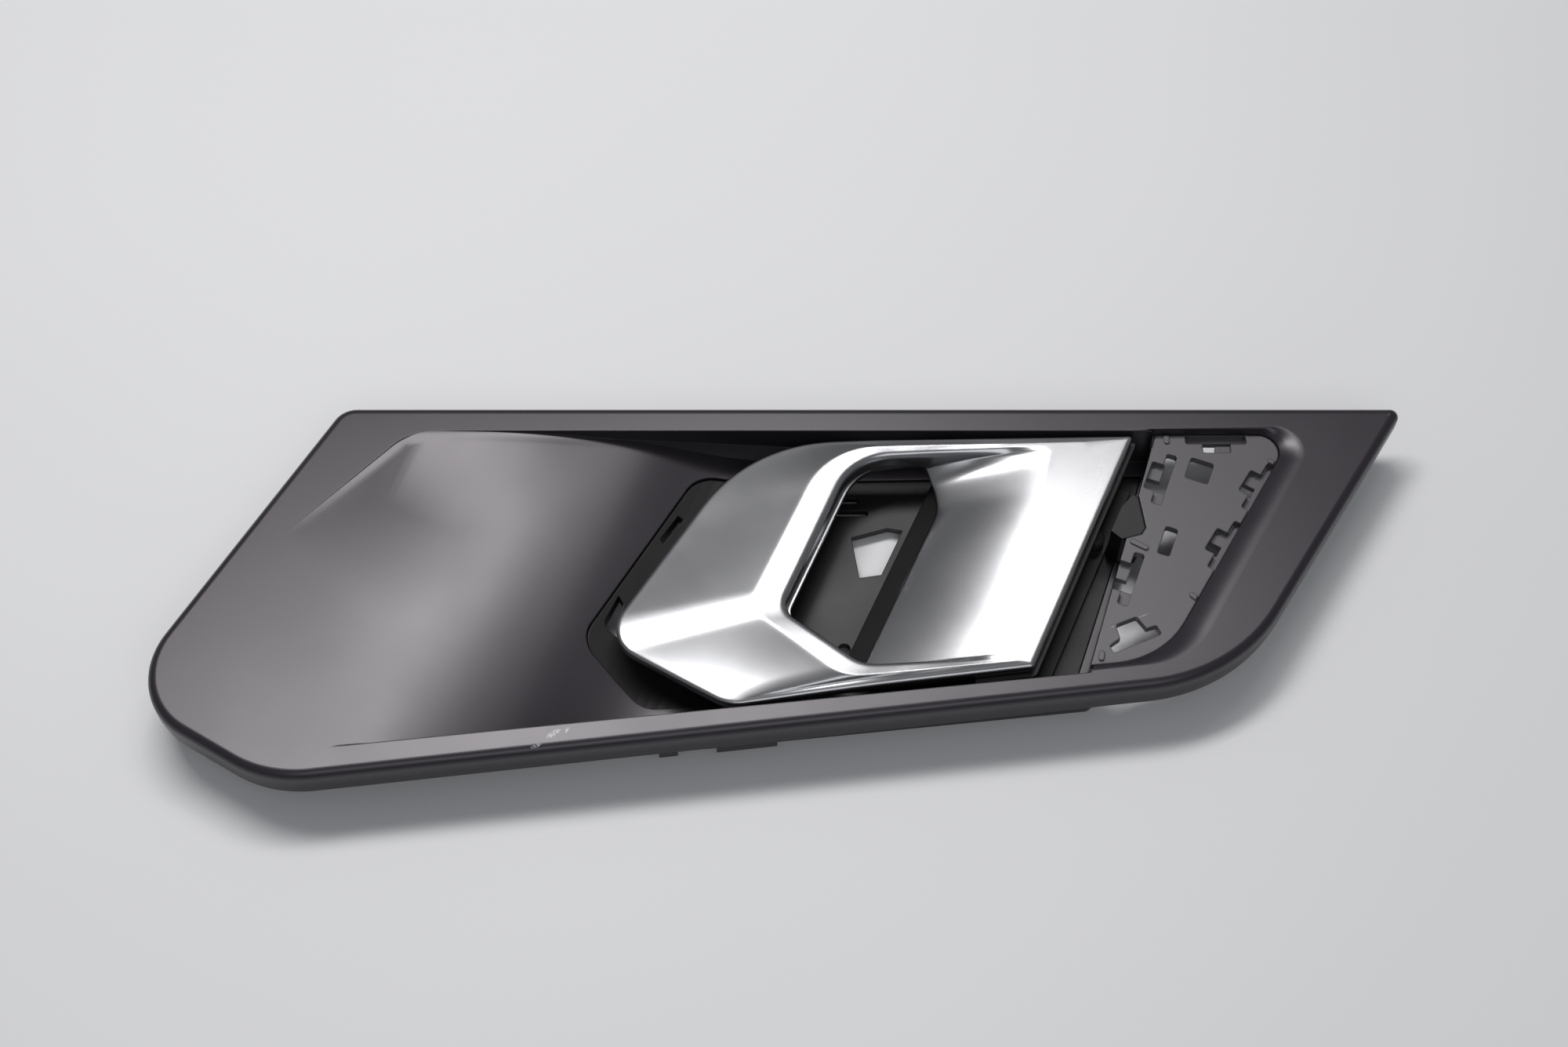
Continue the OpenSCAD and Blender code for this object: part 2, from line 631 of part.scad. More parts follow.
module cover_shell() {
    let (
        foot = hole_loop(-0.2), inner = inner_loop(),
        low_k = [for (p = loop(crest_c, crest_r, lever_m))
            lift(p, lerp(edge_h(p[0]) - shell_skirt + 0.1, crest_z(p[0]) - shell_t - 0.4,
                ease((2 - p[0]) / 20)))])
    ring_solid([
        edge_ring(0.2, shell_skirt),
        edge_ring(0, 1.3),
        edge_ring(0.45, 0.35),
        edge_ring(1.5, 0),
        between(edge_ring(1.5, 0), crest_ring(0), 0.55),
        crest_ring(0),
        between(crest_ring(0), [for (p = hole_loop(1.2)) lift(p, rim_h(p[0]))], 0.5),
        [for (p = hole_loop(1.2)) lift(p, rim_h(p[0]))],
        [for (p = hole_loop(0)) lift(p, rim_h(p[0]) - min(0.9, well_d(p)))],
        well_ring(foot, 0),
        well_ring(between(foot, inner, 0.25), 0),
        well_ring(between(foot, inner, 0.5), 0),
        well_ring(between(foot, inner, 0.75), 0),
        well_ring(inner, 0.1),
        well_ring(inner, shell_t),
        well_ring(between(foot, inner, 0.75), shell_t + 0.1),
        well_ring(between(foot, inner, 0.5), shell_t + 0.1),
        [for (p = between(foot, inner, 0.3))
            lift(p, rim_h(p[0]) - max(well_d(p), shell_skirt - shell_t + 0.1) - shell_t)],
        [for (p = hole_loop(shell_t))
            lift(p, rim_h(p[0]) - max(well_d(p), shell_skirt - shell_t + 0.2) - shell_t)],
        low_k,
        edge_ring(1.8, shell_skirt)
    ]);
}

// Section of the frame across the hinge: flat by the hinge, then down under the scoop to the apron
lip_p = -32.4;
scoop_p = 32.9;
apron_p = 6;
function frame_top(t) = min(frame_z + frame_t,
    face_z + 0.1 - scoop_d * pow(1 - t, 1.6) - shell_t - 0.1 - fit_gap);
module frame_profile() {
    shares = [0.7, 0.5, 0.25, 0];
    polygon(concat([[13, frame_z + frame_t]], [for (t = shares) [lip_p + t * scoop_p, frame_top(t)]],
        [[lip_p - apron_p, floor_z + 2.2], [lip_p - apron_p + 0.6, floor_z + 1.2]],
        [for (k = [3:-1:0]) [lip_p + shares[k] * scoop_p + 0.8, frame_top(shares[k]) - frame_t]],
        [[13, frame_z]]));
}
module lever2d(e = 0) {
    polygon(loop(inset(lever_c, e), inset_r(lever_r, e), [1, 1, 1, 1, 1]));
}
proud = 1.2;
module lever_frame() {
    color([0.1, 0.1, 0.11])
    difference() {
        union() {
            intersection() {
                at_hinge() rotate([90, 0, 0]) linear_extrude(120, center = true) frame_profile();
                linear_extrude(40) difference() {
                    intersection() {
                        lever2d(-proud);
                        translate([-60, -60]) square([200, 60 + edge_top[1] - 0.5]);
                    }
                    polygon([[-80, 60], [-80, -60], [47, -60], [47, -22.6], [5, -22.6], [5, 60]]);
                }
            }
            at_hinge() {
                for (s = [-1, 1]) {
                    along_hinge(s * barrel_s - barrel_l / 2, barrel_l, barrel_d);
                    translate([-3, s * barrel_s - barrel_l / 2, hinge_z])
                        cube([6, barrel_l, frame_z + 1 - hinge_z]);
                }
                translate([seat_at[0], seat_at[1], eye_z]) cylinder(h = eye_l + 0.5, d = eye_boss_d, $fn = 48);
            }
        }
        at_hinge() {
            for (s = [-1, 1]) along_hinge(s * barrel_s - barrel_l / 2 - 1, barrel_l + 2, bush_d + slip);
            for (p = cover_screw_at) translate([p[0], p[1], frame_z - 1])
                cylinder(h = frame_t + 2, d = screw_d + hole_play, $fn = 48);
            translate([seat_at[0], seat_at[1], eye_z - 1]) cylinder(h = eye_l + 1, d = eye_d, $fn = 48);
        }
    }
}

/* Hinge */
bracket_screw_at = concat(rest_at, [stop_at]);
module bearing_bracket() {
    color([0.14, 0.14, 0.15])
    difference() {
        union() {
            intersection() {
                translate([0, 0, floor_z + 0.02]) linear_extrude(base_t) offset(delta = -1) pocket2d();
                at_hinge() union() {
                    translate([-10, -36, 0]) cube([24, 72, 20]);
                    translate([-29, -7, 0]) cube([20, 14, 20]);
                }
            }
            at_hinge() {
                for (s = [-1, 1]) translate([0, s * (lug_s + lug_t / 2), 0]) rotate([90, 0, 0])
                    linear_extrude(lug_t, center = true) {
                        translate([0, hinge_z]) circle(d = barrel_d, $fn = 48);
                        polygon([[-5.5, base_z - 1], [5.5, base_z - 1],
                            [barrel_d / 2, hinge_z], [-barrel_d / 2, hinge_z]]);
                    }
                for (p = rest_at) translate([p[0], p[1], base_z - 0.5])
                    cylinder(h = frame_z - fit_gap - buffer_h - base_z + 0.5, d = buffer_post_d, $fn = 48);
                translate([stop_at[0], stop_at[1], base_z - 0.5])
                    cylinder(h = stop_z - buffer_h - base_z + 0.5, d = buffer_post_d, $fn = 48);
            }
        }
        at_hinge() {
            along_hinge(-lug_s - lug_t - 1, 2 * (lug_s + lug_t + 1), pin_d + run_fit);
            translate([seat_at[0], seat_at[1], 0]) cylinder(h = 20, d = seat_bore, $fn = 48);
            for (p = bracket_screw_at) translate([p[0], p[1], 0])
                cylinder(h = base_z + 2.5, d = screw_d + slip, $fn = 48);
        }
    }
}

head_t = 1.5;
module pivot_pin() {
    color([0.75, 0.75, 0.76])
    at_hinge() difference() {
        union() {
            along_hinge(-pin_end, pin_end + lug_s + lug_t + 2.6, pin_d);
            along_hinge(-pin_end - head_t, head_t, pin_d + 2.4);
        }
        difference() {
            along_hinge(pin_end - 0.1, 1, pin_d + 2);
            along_hinge(pin_end - 0.2, 1.2, pin_d - 0.8);
        }
    }
}

module pin_clip() {
    color([0.5, 0.5, 0.52])
    at_hinge() difference() {
        along_hinge(pin_end, 0.8, pin_d + 3);
        along_hinge(pin_end - 1, 3, pin_d - 0.8 + slip);
        translate([0, pin_end - 1, hinge_z - 1.2]) cube([6, 3, 2.4]);
    }
}

module bush(s) {
    color([0.85, 0.84, 0.8])
    at_hinge() difference() {
        union() {
            along_hinge(s * barrel_s - barrel_l / 2, barrel_l, bush_d);
            along_hinge(s > 0 ? barrel_end + 0.05 : -barrel_end - 0.05 - flange_t, flange_t, pin_d + 3);
            along_hinge(s > 0 ? barrel_end - 1 : -barrel_end - 0.2, 1.2, bush_d);
        }
        along_hinge(-60, 120, pin_d + run_fit);
    }
}

module spring_sleeve() {
    color([0.6, 0.6, 0.58])
    at_hinge() difference() {
        along_hinge(-sleeve_s, 2 * sleeve_s, pin_d + 1);
        along_hinge(-60, 120, pin_d + run_fit);
    }
}
sleeve_s = barrel_s - barrel_l / 2 - fit_gap;

// Torsion spring: a lower leg on the bracket, the coil, and an upper leg under the frame
coil_r = (pin_d + 1) / 2 + fit_gap + wire_d / 2;
coil_l = 2 * sleeve_s / 4;
leg_l = 8.5;
module return_spring() {
    color([0.62, 0.62, 0.64])
    at_hinge() let (
        n = 20, all = n * spring_turns + n / 2,
        path = concat([[leg_l, -coil_l, -coil_r]],
            [for (k = [0:all]) let (a = -90 - 360 * k / n)
                [coil_r * cos(a), lerp(-coil_l, coil_l, k / all), coil_r * sin(a)]],
            [[leg_l, coil_l, coil_r]]),
        m = len(path) - 1)
    translate([0, 0, hinge_z])
    stack_solid([for (i = [0:m]) let (
        t = unit(path[min(i + 1, m)] - path[max(i - 1, 0)]),
        side = unit(cross(t, [0, 1, 0])), up = cross(side, t))
        [for (a = [0:45:315]) path[i] + wire_d / 2 * (cos(a) * side + sin(a) * up)]]);
}

buffer_h = 2.5;
module buffer(p, top) {
    color([0.09, 0.09, 0.09])
    at_hinge() translate([p[0], p[1], top - buffer_h]) {
        cylinder(h = buffer_h - 0.6, d = 5, $fn = 48);
        translate([0, 0, buffer_h - 0.6]) cylinder(h = 0.6, d1 = 5, d2 = 3.8, $fn = 48);
    }
}

module cable_clamp() {
    color([0.16, 0.16, 0.17])
    at_hinge() translate([seat_at[0], seat_at[1], base_z + 0.05]) difference() {
        cylinder(h = clamp_t, d = seat_bore + 3, $fn = 48);
        translate([0, 0, -1]) cylinder(h = 3, d = seat_bore + slip, $fn = 48);
        translate([-seat_bore - 1, -1, -1]) cube([seat_bore + 1, 2, 3]);
    }
}

/* Fasteners */
// A screw with its head at z, pointing up
module screw(z, long, head = head_d, head_h = 1.4) {
    translate([0, 0, z]) difference() {
        union() {
            translate([0, 0, -head_h]) cylinder(h = head_h, d = head, $fn = 48);
            translate([0, 0, -0.1]) cylinder(h = long + 0.1, d = screw_d, $fn = 48);
        }
        translate([0, 0, -head_h - 0.1]) cylinder(h = 0.9, d = screw_d * 0.8, $fn = 6);
    }
}

module plate_screws() {
    color([0.45, 0.45, 0.47])
    for (p = plate_screw_at) translate([p[0], p[1], 0]) screw(plate_seat - plate_flange_t - 0.05, 5);
}
module housing_screws() {
    color([0.45, 0.45, 0.47])
    for (p = housing_screw_at) translate([p[0], p[1], 0]) screw(pad_z(p) - 0.05, 4, 8.6, 1.1);
}
module bracket_screws() {
    color([0.45, 0.45, 0.47])
    at_hinge() for (p = bracket_screw_at) translate([p[0], p[1], 0])
        screw(floor_z - floor_t - 0.25, floor_t + base_t + 2.2, head_d, 1.2);
}
module cover_screws() {
    color([0.45, 0.45, 0.47])
    at_hinge() for (p = cover_screw_at) translate([p[0], p[1], 0])
        screw(frame_z - 0.05, frame_t + 2, head_d, 1.2);
}

clip_t = 0.5;
module panel_clips() {
    color([0.66, 0.66, 0.68])
    for (t = towers) translate([t[0], t[1], tower_z - fit_gap - clip_t]) rotate([0, 0, t[2]])
        translate([-clip_w / 2 + 1, 0, 0]) rotate([90, 0, 90]) linear_extrude(clip_w - 2) {
            for (s = [-1, 1]) polygon([
                [s * (tower_t / 2 + 0.1), 0], [s * (tower_t / 2 + 0.1 + clip_t), 0],
                [s * (tower_t / 2 + 0.7), 4.5], [s * (tower_t / 2 + 0.5), 7.5],
                [s * (tower_t / 2 + 0.1), 7.3], [s * (tower_t / 2 + 0.2), 4.5]]);
            translate([-tower_t / 2 - 0.1 - clip_t, 0]) square([tower_t + 0.2 + 2 * clip_t, clip_t]);
        }
}

bezel();
carrier_plate();
pocket_housing();
lever_cover();
lever_frame();
bearing_bracket();
pivot_pin();
pin_clip();
bush(1);  // upper_bush
bush(-1);  // lower_bush
spring_sleeve();
return_spring();
buffer(rest_at[1], frame_z - fit_gap);  // rest_buffer_upper
buffer(rest_at[0], frame_z - fit_gap);  // rest_buffer_lower
buffer(stop_at, stop_z);  // open_buffer
cable_clamp();
plate_screws();
housing_screws();
bracket_screws();
cover_screws();
panel_clips();
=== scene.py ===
"""Looks of the car interior door handle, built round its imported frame."""
import logging
import math
from dataclasses import dataclass, field
from enum import Enum, IntEnum

import bpy
import numpy as np
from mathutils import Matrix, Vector
from mathutils.geometry import delaunay_2d_cdt


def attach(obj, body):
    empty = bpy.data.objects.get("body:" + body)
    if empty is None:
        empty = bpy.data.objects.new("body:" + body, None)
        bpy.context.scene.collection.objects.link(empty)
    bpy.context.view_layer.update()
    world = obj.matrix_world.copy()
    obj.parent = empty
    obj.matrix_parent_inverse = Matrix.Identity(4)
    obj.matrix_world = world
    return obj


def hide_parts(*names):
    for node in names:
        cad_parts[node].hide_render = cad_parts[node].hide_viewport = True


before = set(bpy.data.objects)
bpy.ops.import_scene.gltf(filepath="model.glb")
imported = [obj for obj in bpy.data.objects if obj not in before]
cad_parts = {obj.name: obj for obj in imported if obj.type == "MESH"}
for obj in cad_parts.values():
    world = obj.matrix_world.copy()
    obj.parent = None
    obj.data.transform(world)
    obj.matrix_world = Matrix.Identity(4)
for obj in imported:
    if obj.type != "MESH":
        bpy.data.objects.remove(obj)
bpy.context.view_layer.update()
LOG = logging.getLogger("door_handle")
MM = 0.001

Colour = tuple[float, float, float]
Place = tuple[float, float, float]
Pair = tuple[float, float]
Socket = bpy.types.NodeSocket


class Body(Enum):
    """The two bodies of the frame that pieces ride on."""

    TRIM = "trim"
    LEVER = "lever"


# Finishes


@dataclass(frozen=True)
class Mark:
    """A scuff or scratch, as a thin ellipse of broken-up lighter colour.

    Attributes:
        place: Its middle in metres.
        turn: Its direction seen from above, in degrees.
        size: Half its length and half its width in metres.
        reach: Half its height in metres.
        breaks: Features of its broken-up edge per metre.
        colour: Its colour.
    """

    place: Place
    turn: float
    size: Pair
    reach: float = 0.002
    breaks: float = 1800.0
    colour: Colour = (0.45, 0.44, 0.45)


@dataclass
class NodeBuilder:
    """Adds shader nodes to one material and links them.

    Attributes:
        material: The material whose tree is built.
    """

    material: bpy.types.Material

    @classmethod
    def fresh(cls, name: str) -> "NodeBuilder":
        """Starts an empty node material.

        Args:
            name: Name of the material.

        Returns:
            A builder for it.
        """
        material = bpy.data.materials.new(name)
        material.use_nodes = True
        material.node_tree.nodes.clear()
        return cls(material)

    def add(self, kind: str, **values: object) -> bpy.types.Node:
        """Adds a node and sets its properties or its sockets by name.

        Args:
            kind: Blender's type name of the node.
            **values: Property names, or socket names with underscores for spaces.

        Returns:
            The node.
        """
        node = self.material.node_tree.nodes.new(kind)
        for key, value in values.items():
            if hasattr(node, key):
                setattr(node, key, value)
            else:
                node.inputs[key.replace("_", " ")].default_value = value
        return node

    def link(self, source: Socket, target: Socket) -> None:
        """Links two sockets."""
        self.material.node_tree.links.new(source, target)

    def surface(self, shader: bpy.types.Node) -> None:
        """Ends the tree in the material's output."""
        self.link(shader.outputs[0], self.add("ShaderNodeOutputMaterial").inputs["Surface"])

    def position(self) -> Socket:
        """Returns the object coordinates, in metres."""
        return self.add("ShaderNodeTexCoord").outputs["Object"]

    def noise(self, scale: float, detail: float = 3.0) -> Socket:
        """Adds a noise texture on object coordinates.

        Args:
            scale: Features per metre.
            detail: Octaves of the noise.

        Returns:
            The noise value.
        """
        noise = self.add("ShaderNodeTexNoise", Scale=scale, Detail=detail)
        self.link(self.position(), noise.inputs["Vector"])
        return noise.outputs[0]

    def span(self, value: Socket, low: float, high: float, start: float = 0.3, end: float = 0.7) -> Socket:
        """Maps a value's range start..end to low..high.

        Args:
            value: Socket to map.
            low: Result at start.
            high: Result at end.
            start: Input value that gives low.
            end: Input value that gives high.

        Returns:
            The mapped value.
        """
        node = self.add("ShaderNodeMapRange", From_Min=start, From_Max=end, To_Min=low, To_Max=high)
        self.link(value, node.inputs["Value"])
        return node.outputs[0]

    def mix(self, share: Socket, low: Colour, high: Colour) -> Socket:
        """Mixes two colours by a share.

        Args:
            share: Socket from 0 to 1.
            low: Colour at 0.
            high: Colour at 1.

        Returns:
            The mixed colour.
        """
        node = self.add("ShaderNodeMix", data_type="RGBA")
        node.inputs[6].default_value = (*low, 1)
        node.inputs[7].default_value = (*high, 1)
        self.link(share, node.inputs[0])
        return node.outputs[2]

    def blend(self, share: Socket, base: Socket, colour: Colour) -> Socket:
        """Lays a colour over another by a share.

        Args:
            share: Socket from 0 to 1.
            base: Socket of the colour below.
            colour: The colour on top.

        Returns:
            The resulting colour.
        """
        node = self.add("ShaderNodeMix", data_type="RGBA")
        node.inputs[7].default_value = (*colour, 1)
        self.link(share, node.inputs[0])
        self.link(base, node.inputs[6])
        return node.outputs[2]

    def cover(self, mark: Mark) -> Socket:
        """Returns the cover of one scuff or scratch.

        Args:
            mark: The mark.

        Returns:
            A value that is 1 inside the mark.
        """
        place = self.add("ShaderNodeMapping", vector_type="TEXTURE", Location=mark.place,
                         Rotation=(0, 0, math.radians(mark.turn)), Scale=(*mark.size, mark.reach))
        self.link(self.position(), place.inputs["Vector"])
        length = self.add("ShaderNodeVectorMath", operation="LENGTH")
        self.link(place.outputs[0], length.inputs[0])
        cover = self.add("ShaderNodeMath", operation="MULTIPLY")
        self.link(self.span(length.outputs["Value"], 1, 0, 0.7, 1), cover.inputs[0])
        self.link(self.span(self.noise(mark.breaks), 0.0, 0.85, 0.42, 0.56), cover.inputs[1])
        return cover.outputs[0]

    def bump(self, height: Socket, strength: float, distance: float, below: Socket) -> Socket:
        """Adds a bump node.

        Args:
            height: Height socket.
            strength: Strength of the bump.
            distance: Height of 1 in metres.
            below: Normal socket that it builds on.

        Returns:
            The normal.
        """
        node = self.add("ShaderNodeBump", Strength=strength, Distance=distance)
        self.link(height, node.inputs["Height"])
        self.link(below, node.inputs["Normal"])
        return node.outputs[0]

    def soft_edges(self, radius: float) -> Socket:
        """Returns a normal that rounds sharp edges, by a radius in metres."""
        return self.add("ShaderNodeBevel", samples=6, Radius=radius).outputs[0]


@dataclass(frozen=True)
class Finish:
    """A moulded, painted or metal finish with grain and wear.

    Attributes:
        name: Name of the material.
        low: Darker base colour.
        high: Lighter base colour.
        roughness: Lowest and highest roughness.
        metallic: 0 for plastics and paint, 1 for metal.
        grain: Features of the fine grain per metre.
        grain_depth: Height of the grain in metres.
        relief: Strength of the grain's bump.
        edge: Radius of rounded edges in metres.
        specular: The shader's specular level.
        blotch: Features of the colour's slow change per metre.
        tint: Colour of the sheen.
        marks: Scuffs and scratches.
    """

    name: str
    low: Colour
    high: Colour
    roughness: Pair
    metallic: float = 0.0
    grain: float = 2500.0
    grain_depth: float = 0.00002
    relief: float = 0.6
    edge: float = 0.0004
    specular: float = 0.5
    blotch: float = 40.0
    tint: Colour = (1.0, 1.0, 1.0)
    marks: tuple[Mark, ...] = ()

    def material(self) -> bpy.types.Material:
        """Builds the node material.

        Returns:
            The material.
        """
        nodes = NodeBuilder.fresh(self.name)
        shader = nodes.add("ShaderNodeBsdfPrincipled", Metallic=self.metallic)
        shader.inputs["Specular IOR Level"].default_value = self.specular
        shader.inputs["Specular Tint"].default_value = (*self.tint, 1)
        slow = nodes.noise(self.blotch, 4)
        fine = nodes.noise(self.grain, 2)
        colour = nodes.mix(nodes.span(slow, 0, 1), self.low, self.high)
        for mark in self.marks:
            colour = nodes.blend(nodes.cover(mark), colour, mark.colour)
        normal = nodes.bump(fine, self.relief, self.grain_depth, nodes.soft_edges(self.edge))
        nodes.link(colour, shader.inputs["Base Color"])
        nodes.link(nodes.span(slow, *self.roughness), shader.inputs["Roughness"])
        nodes.link(normal, shader.inputs["Normal"])
        nodes.surface(shader)
        return nodes.material


SCUFFS = (Mark((-0.0626, -0.0452, 0.0201), 35, (0.0024, 0.0009)),
          Mark((-0.0669, -0.0486, 0.0201), 20, (0.0016, 0.0005)),
          Mark((-0.0591, -0.0440, 0.0201), 60, (0.0012, 0.0004)))
SCRATCH = (Mark((0.0886, -0.0104, 0.0165), 22, (0.0077, 0.00022)),)
PAINT = Finish("satin_trim_paint", (0.018, 0.0155, 0.02), (0.021, 0.018, 0.023), (0.3, 0.33), edge=0.0005,
               grain=3500, grain_depth=0.000005, specular=0.6, tint=(1.0, 0.965, 1.02), marks=SCUFFS)
BLACK_PLASTIC = Finish("black_moulded_plastic", (0.008, 0.008, 0.0085), (0.012, 0.012, 0.0125), (0.36, 0.44),
                       specular=0.32)
GREY_PLASTIC = Finish("grey_moulded_plastic", (0.092, 0.086, 0.094), (0.104, 0.098, 0.106), (0.34, 0.4),
                      edge=0.0005, marks=SCRATCH)
SATIN_CHROME = Finish("satin_chrome", (0.43, 0.432, 0.446), (0.46, 0.462, 0.476), (0.23, 0.26), metallic=1.0,
                      grain=5000, grain_depth=0.000004, edge=0.0006)
STEEL = Finish("zinc_steel", (0.42, 0.42, 0.43), (0.52, 0.52, 0.53), (0.25, 0.4), metallic=1.0, edge=0.0002)
PALE_PLASTIC = Finish("pale_bearing_plastic", (0.55, 0.53, 0.48), (0.62, 0.6, 0.55), (0.4, 0.5), edge=0.0002)
RUBBER = Finish("buffer_rubber", (0.012, 0.012, 0.012), (0.02, 0.02, 0.02), (0.6, 0.75), edge=0.0003)

NODE_FINISH: dict[str, Finish] = {
    "bezel": PAINT,
    "carrier_plate": GREY_PLASTIC,
    "pocket_housing": BLACK_PLASTIC,
    "lever_cover": SATIN_CHROME,
    "lever_frame": BLACK_PLASTIC,
    "bearing_bracket": BLACK_PLASTIC,
    "pivot_pin": STEEL,
    "pin_clip": STEEL,
    "upper_bush": PALE_PLASTIC,
    "lower_bush": PALE_PLASTIC,
    "spring_sleeve": PALE_PLASTIC,
    "return_spring": STEEL,
    "rest_buffer_upper": RUBBER,
    "rest_buffer_lower": RUBBER,
    "open_buffer": RUBBER,
    "cable_clamp": BLACK_PLASTIC,
    "plate_screws": STEEL,
    "housing_screws": STEEL,
    "bracket_screws": STEEL,
    "cover_screws": STEEL,
    "panel_clips": STEEL,
}


@dataclass
class FrameDress:
    """Gives every node of the frame its finish.

    Attributes:
        made: Materials already built, by name.
    """

    made: dict[str, bpy.types.Material] = field(default_factory=dict)

    def material(self, finish: Finish) -> bpy.types.Material:
        """Returns the finish's material, built once.

        Args:
            finish: The finish.

        Returns:
            Its material.
        """
        if finish.name not in self.made:
            self.made[finish.name] = finish.material()
        return self.made[finish.name]

    def build(self) -> None:
        """Puts the finishes on the nodes."""
        for name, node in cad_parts.items():
            node.data.materials.clear()
            node.data.materials.append(self.material(NODE_FINISH[name]))
            LOG.info("%s wears %s", name, NODE_FINISH[name].name)


# Outlines


def unit(v: np.ndarray) -> np.ndarray:
    """Returns the vector at length 1."""
    return v / np.linalg.norm(v)


def ease(t: np.ndarray | float) -> np.ndarray:
    """Returns a smooth step from 0 to 1."""
    c = np.clip(t, 0, 1)
    return c * c * (3 - 2 * c)


def slope(degrees: float) -> float:
    """Returns the tangent of an angle in degrees."""
    return math.tan(math.radians(degrees))


# The lower edge of the dish, in mm: a point on it and its rise per mm of length
LOW_START: Pair = (-120.0, -48.991)
LOW_RISE = 0.1095


def low_edge(x: float) -> float:
    """Returns the lower edge of the dish at x."""
    return LOW_START[1] + (x - LOW_START[0]) * LOW_RISE


def right_corner(low: Pair, high: Pair, rise: float, lean: float) -> Pair:
    """Returns where a rising lower line meets a leaning right side.

    Args:
        low: A point on the lower line.
        high: A point on the right side.
        rise: Tangent of the lower line's rise.
        lean: Tangent of the side's lean from upright.

    Returns:
        The corner.
    """
    x = (high[0] - (high[1] - low[1] + low[0] * rise) * lean) / (1 - rise * lean)
    return x, low[1] + (x - low[0]) * rise


@dataclass(frozen=True)
class Loop:
    """A closed convex outline of rounded corners.

    Attributes:
        corners: Its corner points, in mm.
        radii: The radius of each corner.
    """

    corners: tuple[Pair, ...]
    radii: tuple[float, ...]

    def inset(self, depth: float) -> "Loop":
        """Returns the outline moved inwards.

        Args:
            depth: Distance in mm, negative for outwards.

        Returns:
            The new outline.
        """
        moved = []
        for i, corner in enumerate(self.corners):
            here = np.array(corner)
            back = unit(np.array(self.corners[i - 1]) - here)
            on = unit(np.array(self.corners[(i + 1) % len(self.corners)]) - here)
            half = math.acos(float(back @ on)) / 2
            moved.append(tuple(here + unit(back + on) * depth / math.sin(half)))
        return Loop(tuple(moved), tuple(max(r - depth, 0.3) for r in self.radii))

    def arc(self, i: int, steps: int) -> list[np.ndarray]:
        """Returns the points of one rounded corner.

        Args:
            i: Index of the corner.
            steps: Number of steps along the arc.

        Returns:
            Its points.
        """
        here, radius = np.array(self.corners[i]), self.radii[i]
        before = here - np.array(self.corners[i - 1])
        after = np.array(self.corners[(i + 1) % len(self.corners)]) - here
        back, on = -unit(before), unit(after)
        half = math.acos(float(back @ on)) / 2
        middle = here + unit(back + on) * radius / math.sin(half)
        first = here + back * radius / math.tan(half) - middle
        start = math.atan2(first[1], first[0])
        turn = (math.pi - 2 * half) * math.copysign(1, before[0] * after[1] - before[1] * after[0])
        angles = [start + turn * k / steps for k in range(steps + 1)]
        return [middle + radius * np.array([math.cos(a), math.sin(a)]) for a in angles]

    def points(self, straights: tuple[int, ...], steps: int, near: float = 0.5,
               far: float = 0.5) -> np.ndarray:
        """Samples the outline.

        Args:
            straights: Spaces on the straight after each corner.
            steps: Steps along each corner's arc.
            near: Share of the first straight's spaces in its first part.
            far: Share of the first straight's length in its first part.

        Returns:
            An array of points.
        """
        arcs = [self.arc(i, steps) for i in range(len(self.corners))]
        out = []
        for i, arc in enumerate(arcs):
            out += arc
            start, end = arc[-1], arcs[(i + 1) % len(arcs)][0]
            for j in range(1, straights[i]):
                t = j / straights[i]
                if i == 0:
                    t = far * t / near if t < near else far + (1 - far) * (t - near) / (1 - near)
                out.append(start + (end - start) * t)
        return np.array(out)


def line_distance(points: np.ndarray, line: np.ndarray) -> np.ndarray:
    """Returns each point's distance from a closed line.

    Args:
        points: The points.
        line: Corners of the closed line.

    Returns:
        The distances.
    """
    best = np.full(len(points), np.inf)
    for a, b in zip(line, np.roll(line, -1, axis=0)):
        ab = b - a
        t = np.clip(((points - a) @ ab) / max(float(ab @ ab), 1e-12), 0, 1)
        best = np.minimum(best, np.linalg.norm(points - (a + t[:, None] * ab), axis=1))
    return best


def within(points: np.ndarray, line: np.ndarray) -> np.ndarray:
    """Returns which points lie inside a closed line.

    Args:
        points: The points.
        line: Corners of the closed line.

    Returns:
        One flag for each point.
    """
    x, y = points[:, 0], points[:, 1]
    odd = np.zeros(len(points), bool)
    for (ax, ay), (bx, by) in zip(line, np.roll(line, -1, axis=0)):
        if ay != by:
            odd ^= ((ay > y) != (by > y)) & (x < (bx - ax) * (y - ay) / (by - ay) + ax)
    return odd


def only(piece: bpy.types.Object) -> None:
    """Selects one object and makes it active.

    Args:
        piece: The object.
    """
    bpy.ops.object.select_all(action="DESELECT")
    piece.select_set(True)
    bpy.context.view_layer.objects.active = piece


def new_piece(name: str, mesh: bpy.types.Mesh) -> bpy.types.Object:
    """Adds an object at the origin and selects it alone.

    Args:
        name: Name of the object.
        mesh: Its mesh, in metres.

    Returns:
        The object.
    """
    piece = bpy.data.objects.new(name, mesh)
    bpy.context.scene.collection.objects.link(piece)
    only(piece)
    return piece


def turn_outwards() -> None:
    """Points the faces of the active object outwards."""
    bpy.ops.object.mode_set(mode="EDIT")
    bpy.ops.mesh.select_all(action="SELECT")
    bpy.ops.mesh.normals_make_consistent(inside=False)
    bpy.ops.object.mode_set(mode="OBJECT")


# Lever shell


@dataclass(frozen=True)
class Sweep:
    """A height that is gained smoothly towards one end.

    Attributes:
        start: Where it starts, in mm.
        run: The length in which it is gained, negative towards the right, in mm.
        height: The full height, in mm, negative for a fall.
    """

    start: float
    run: float
    height: float

    def at(self, x: np.ndarray) -> np.ndarray:
        """Returns the height gained at x."""
        return self.height * ease((self.start - x) / self.run)


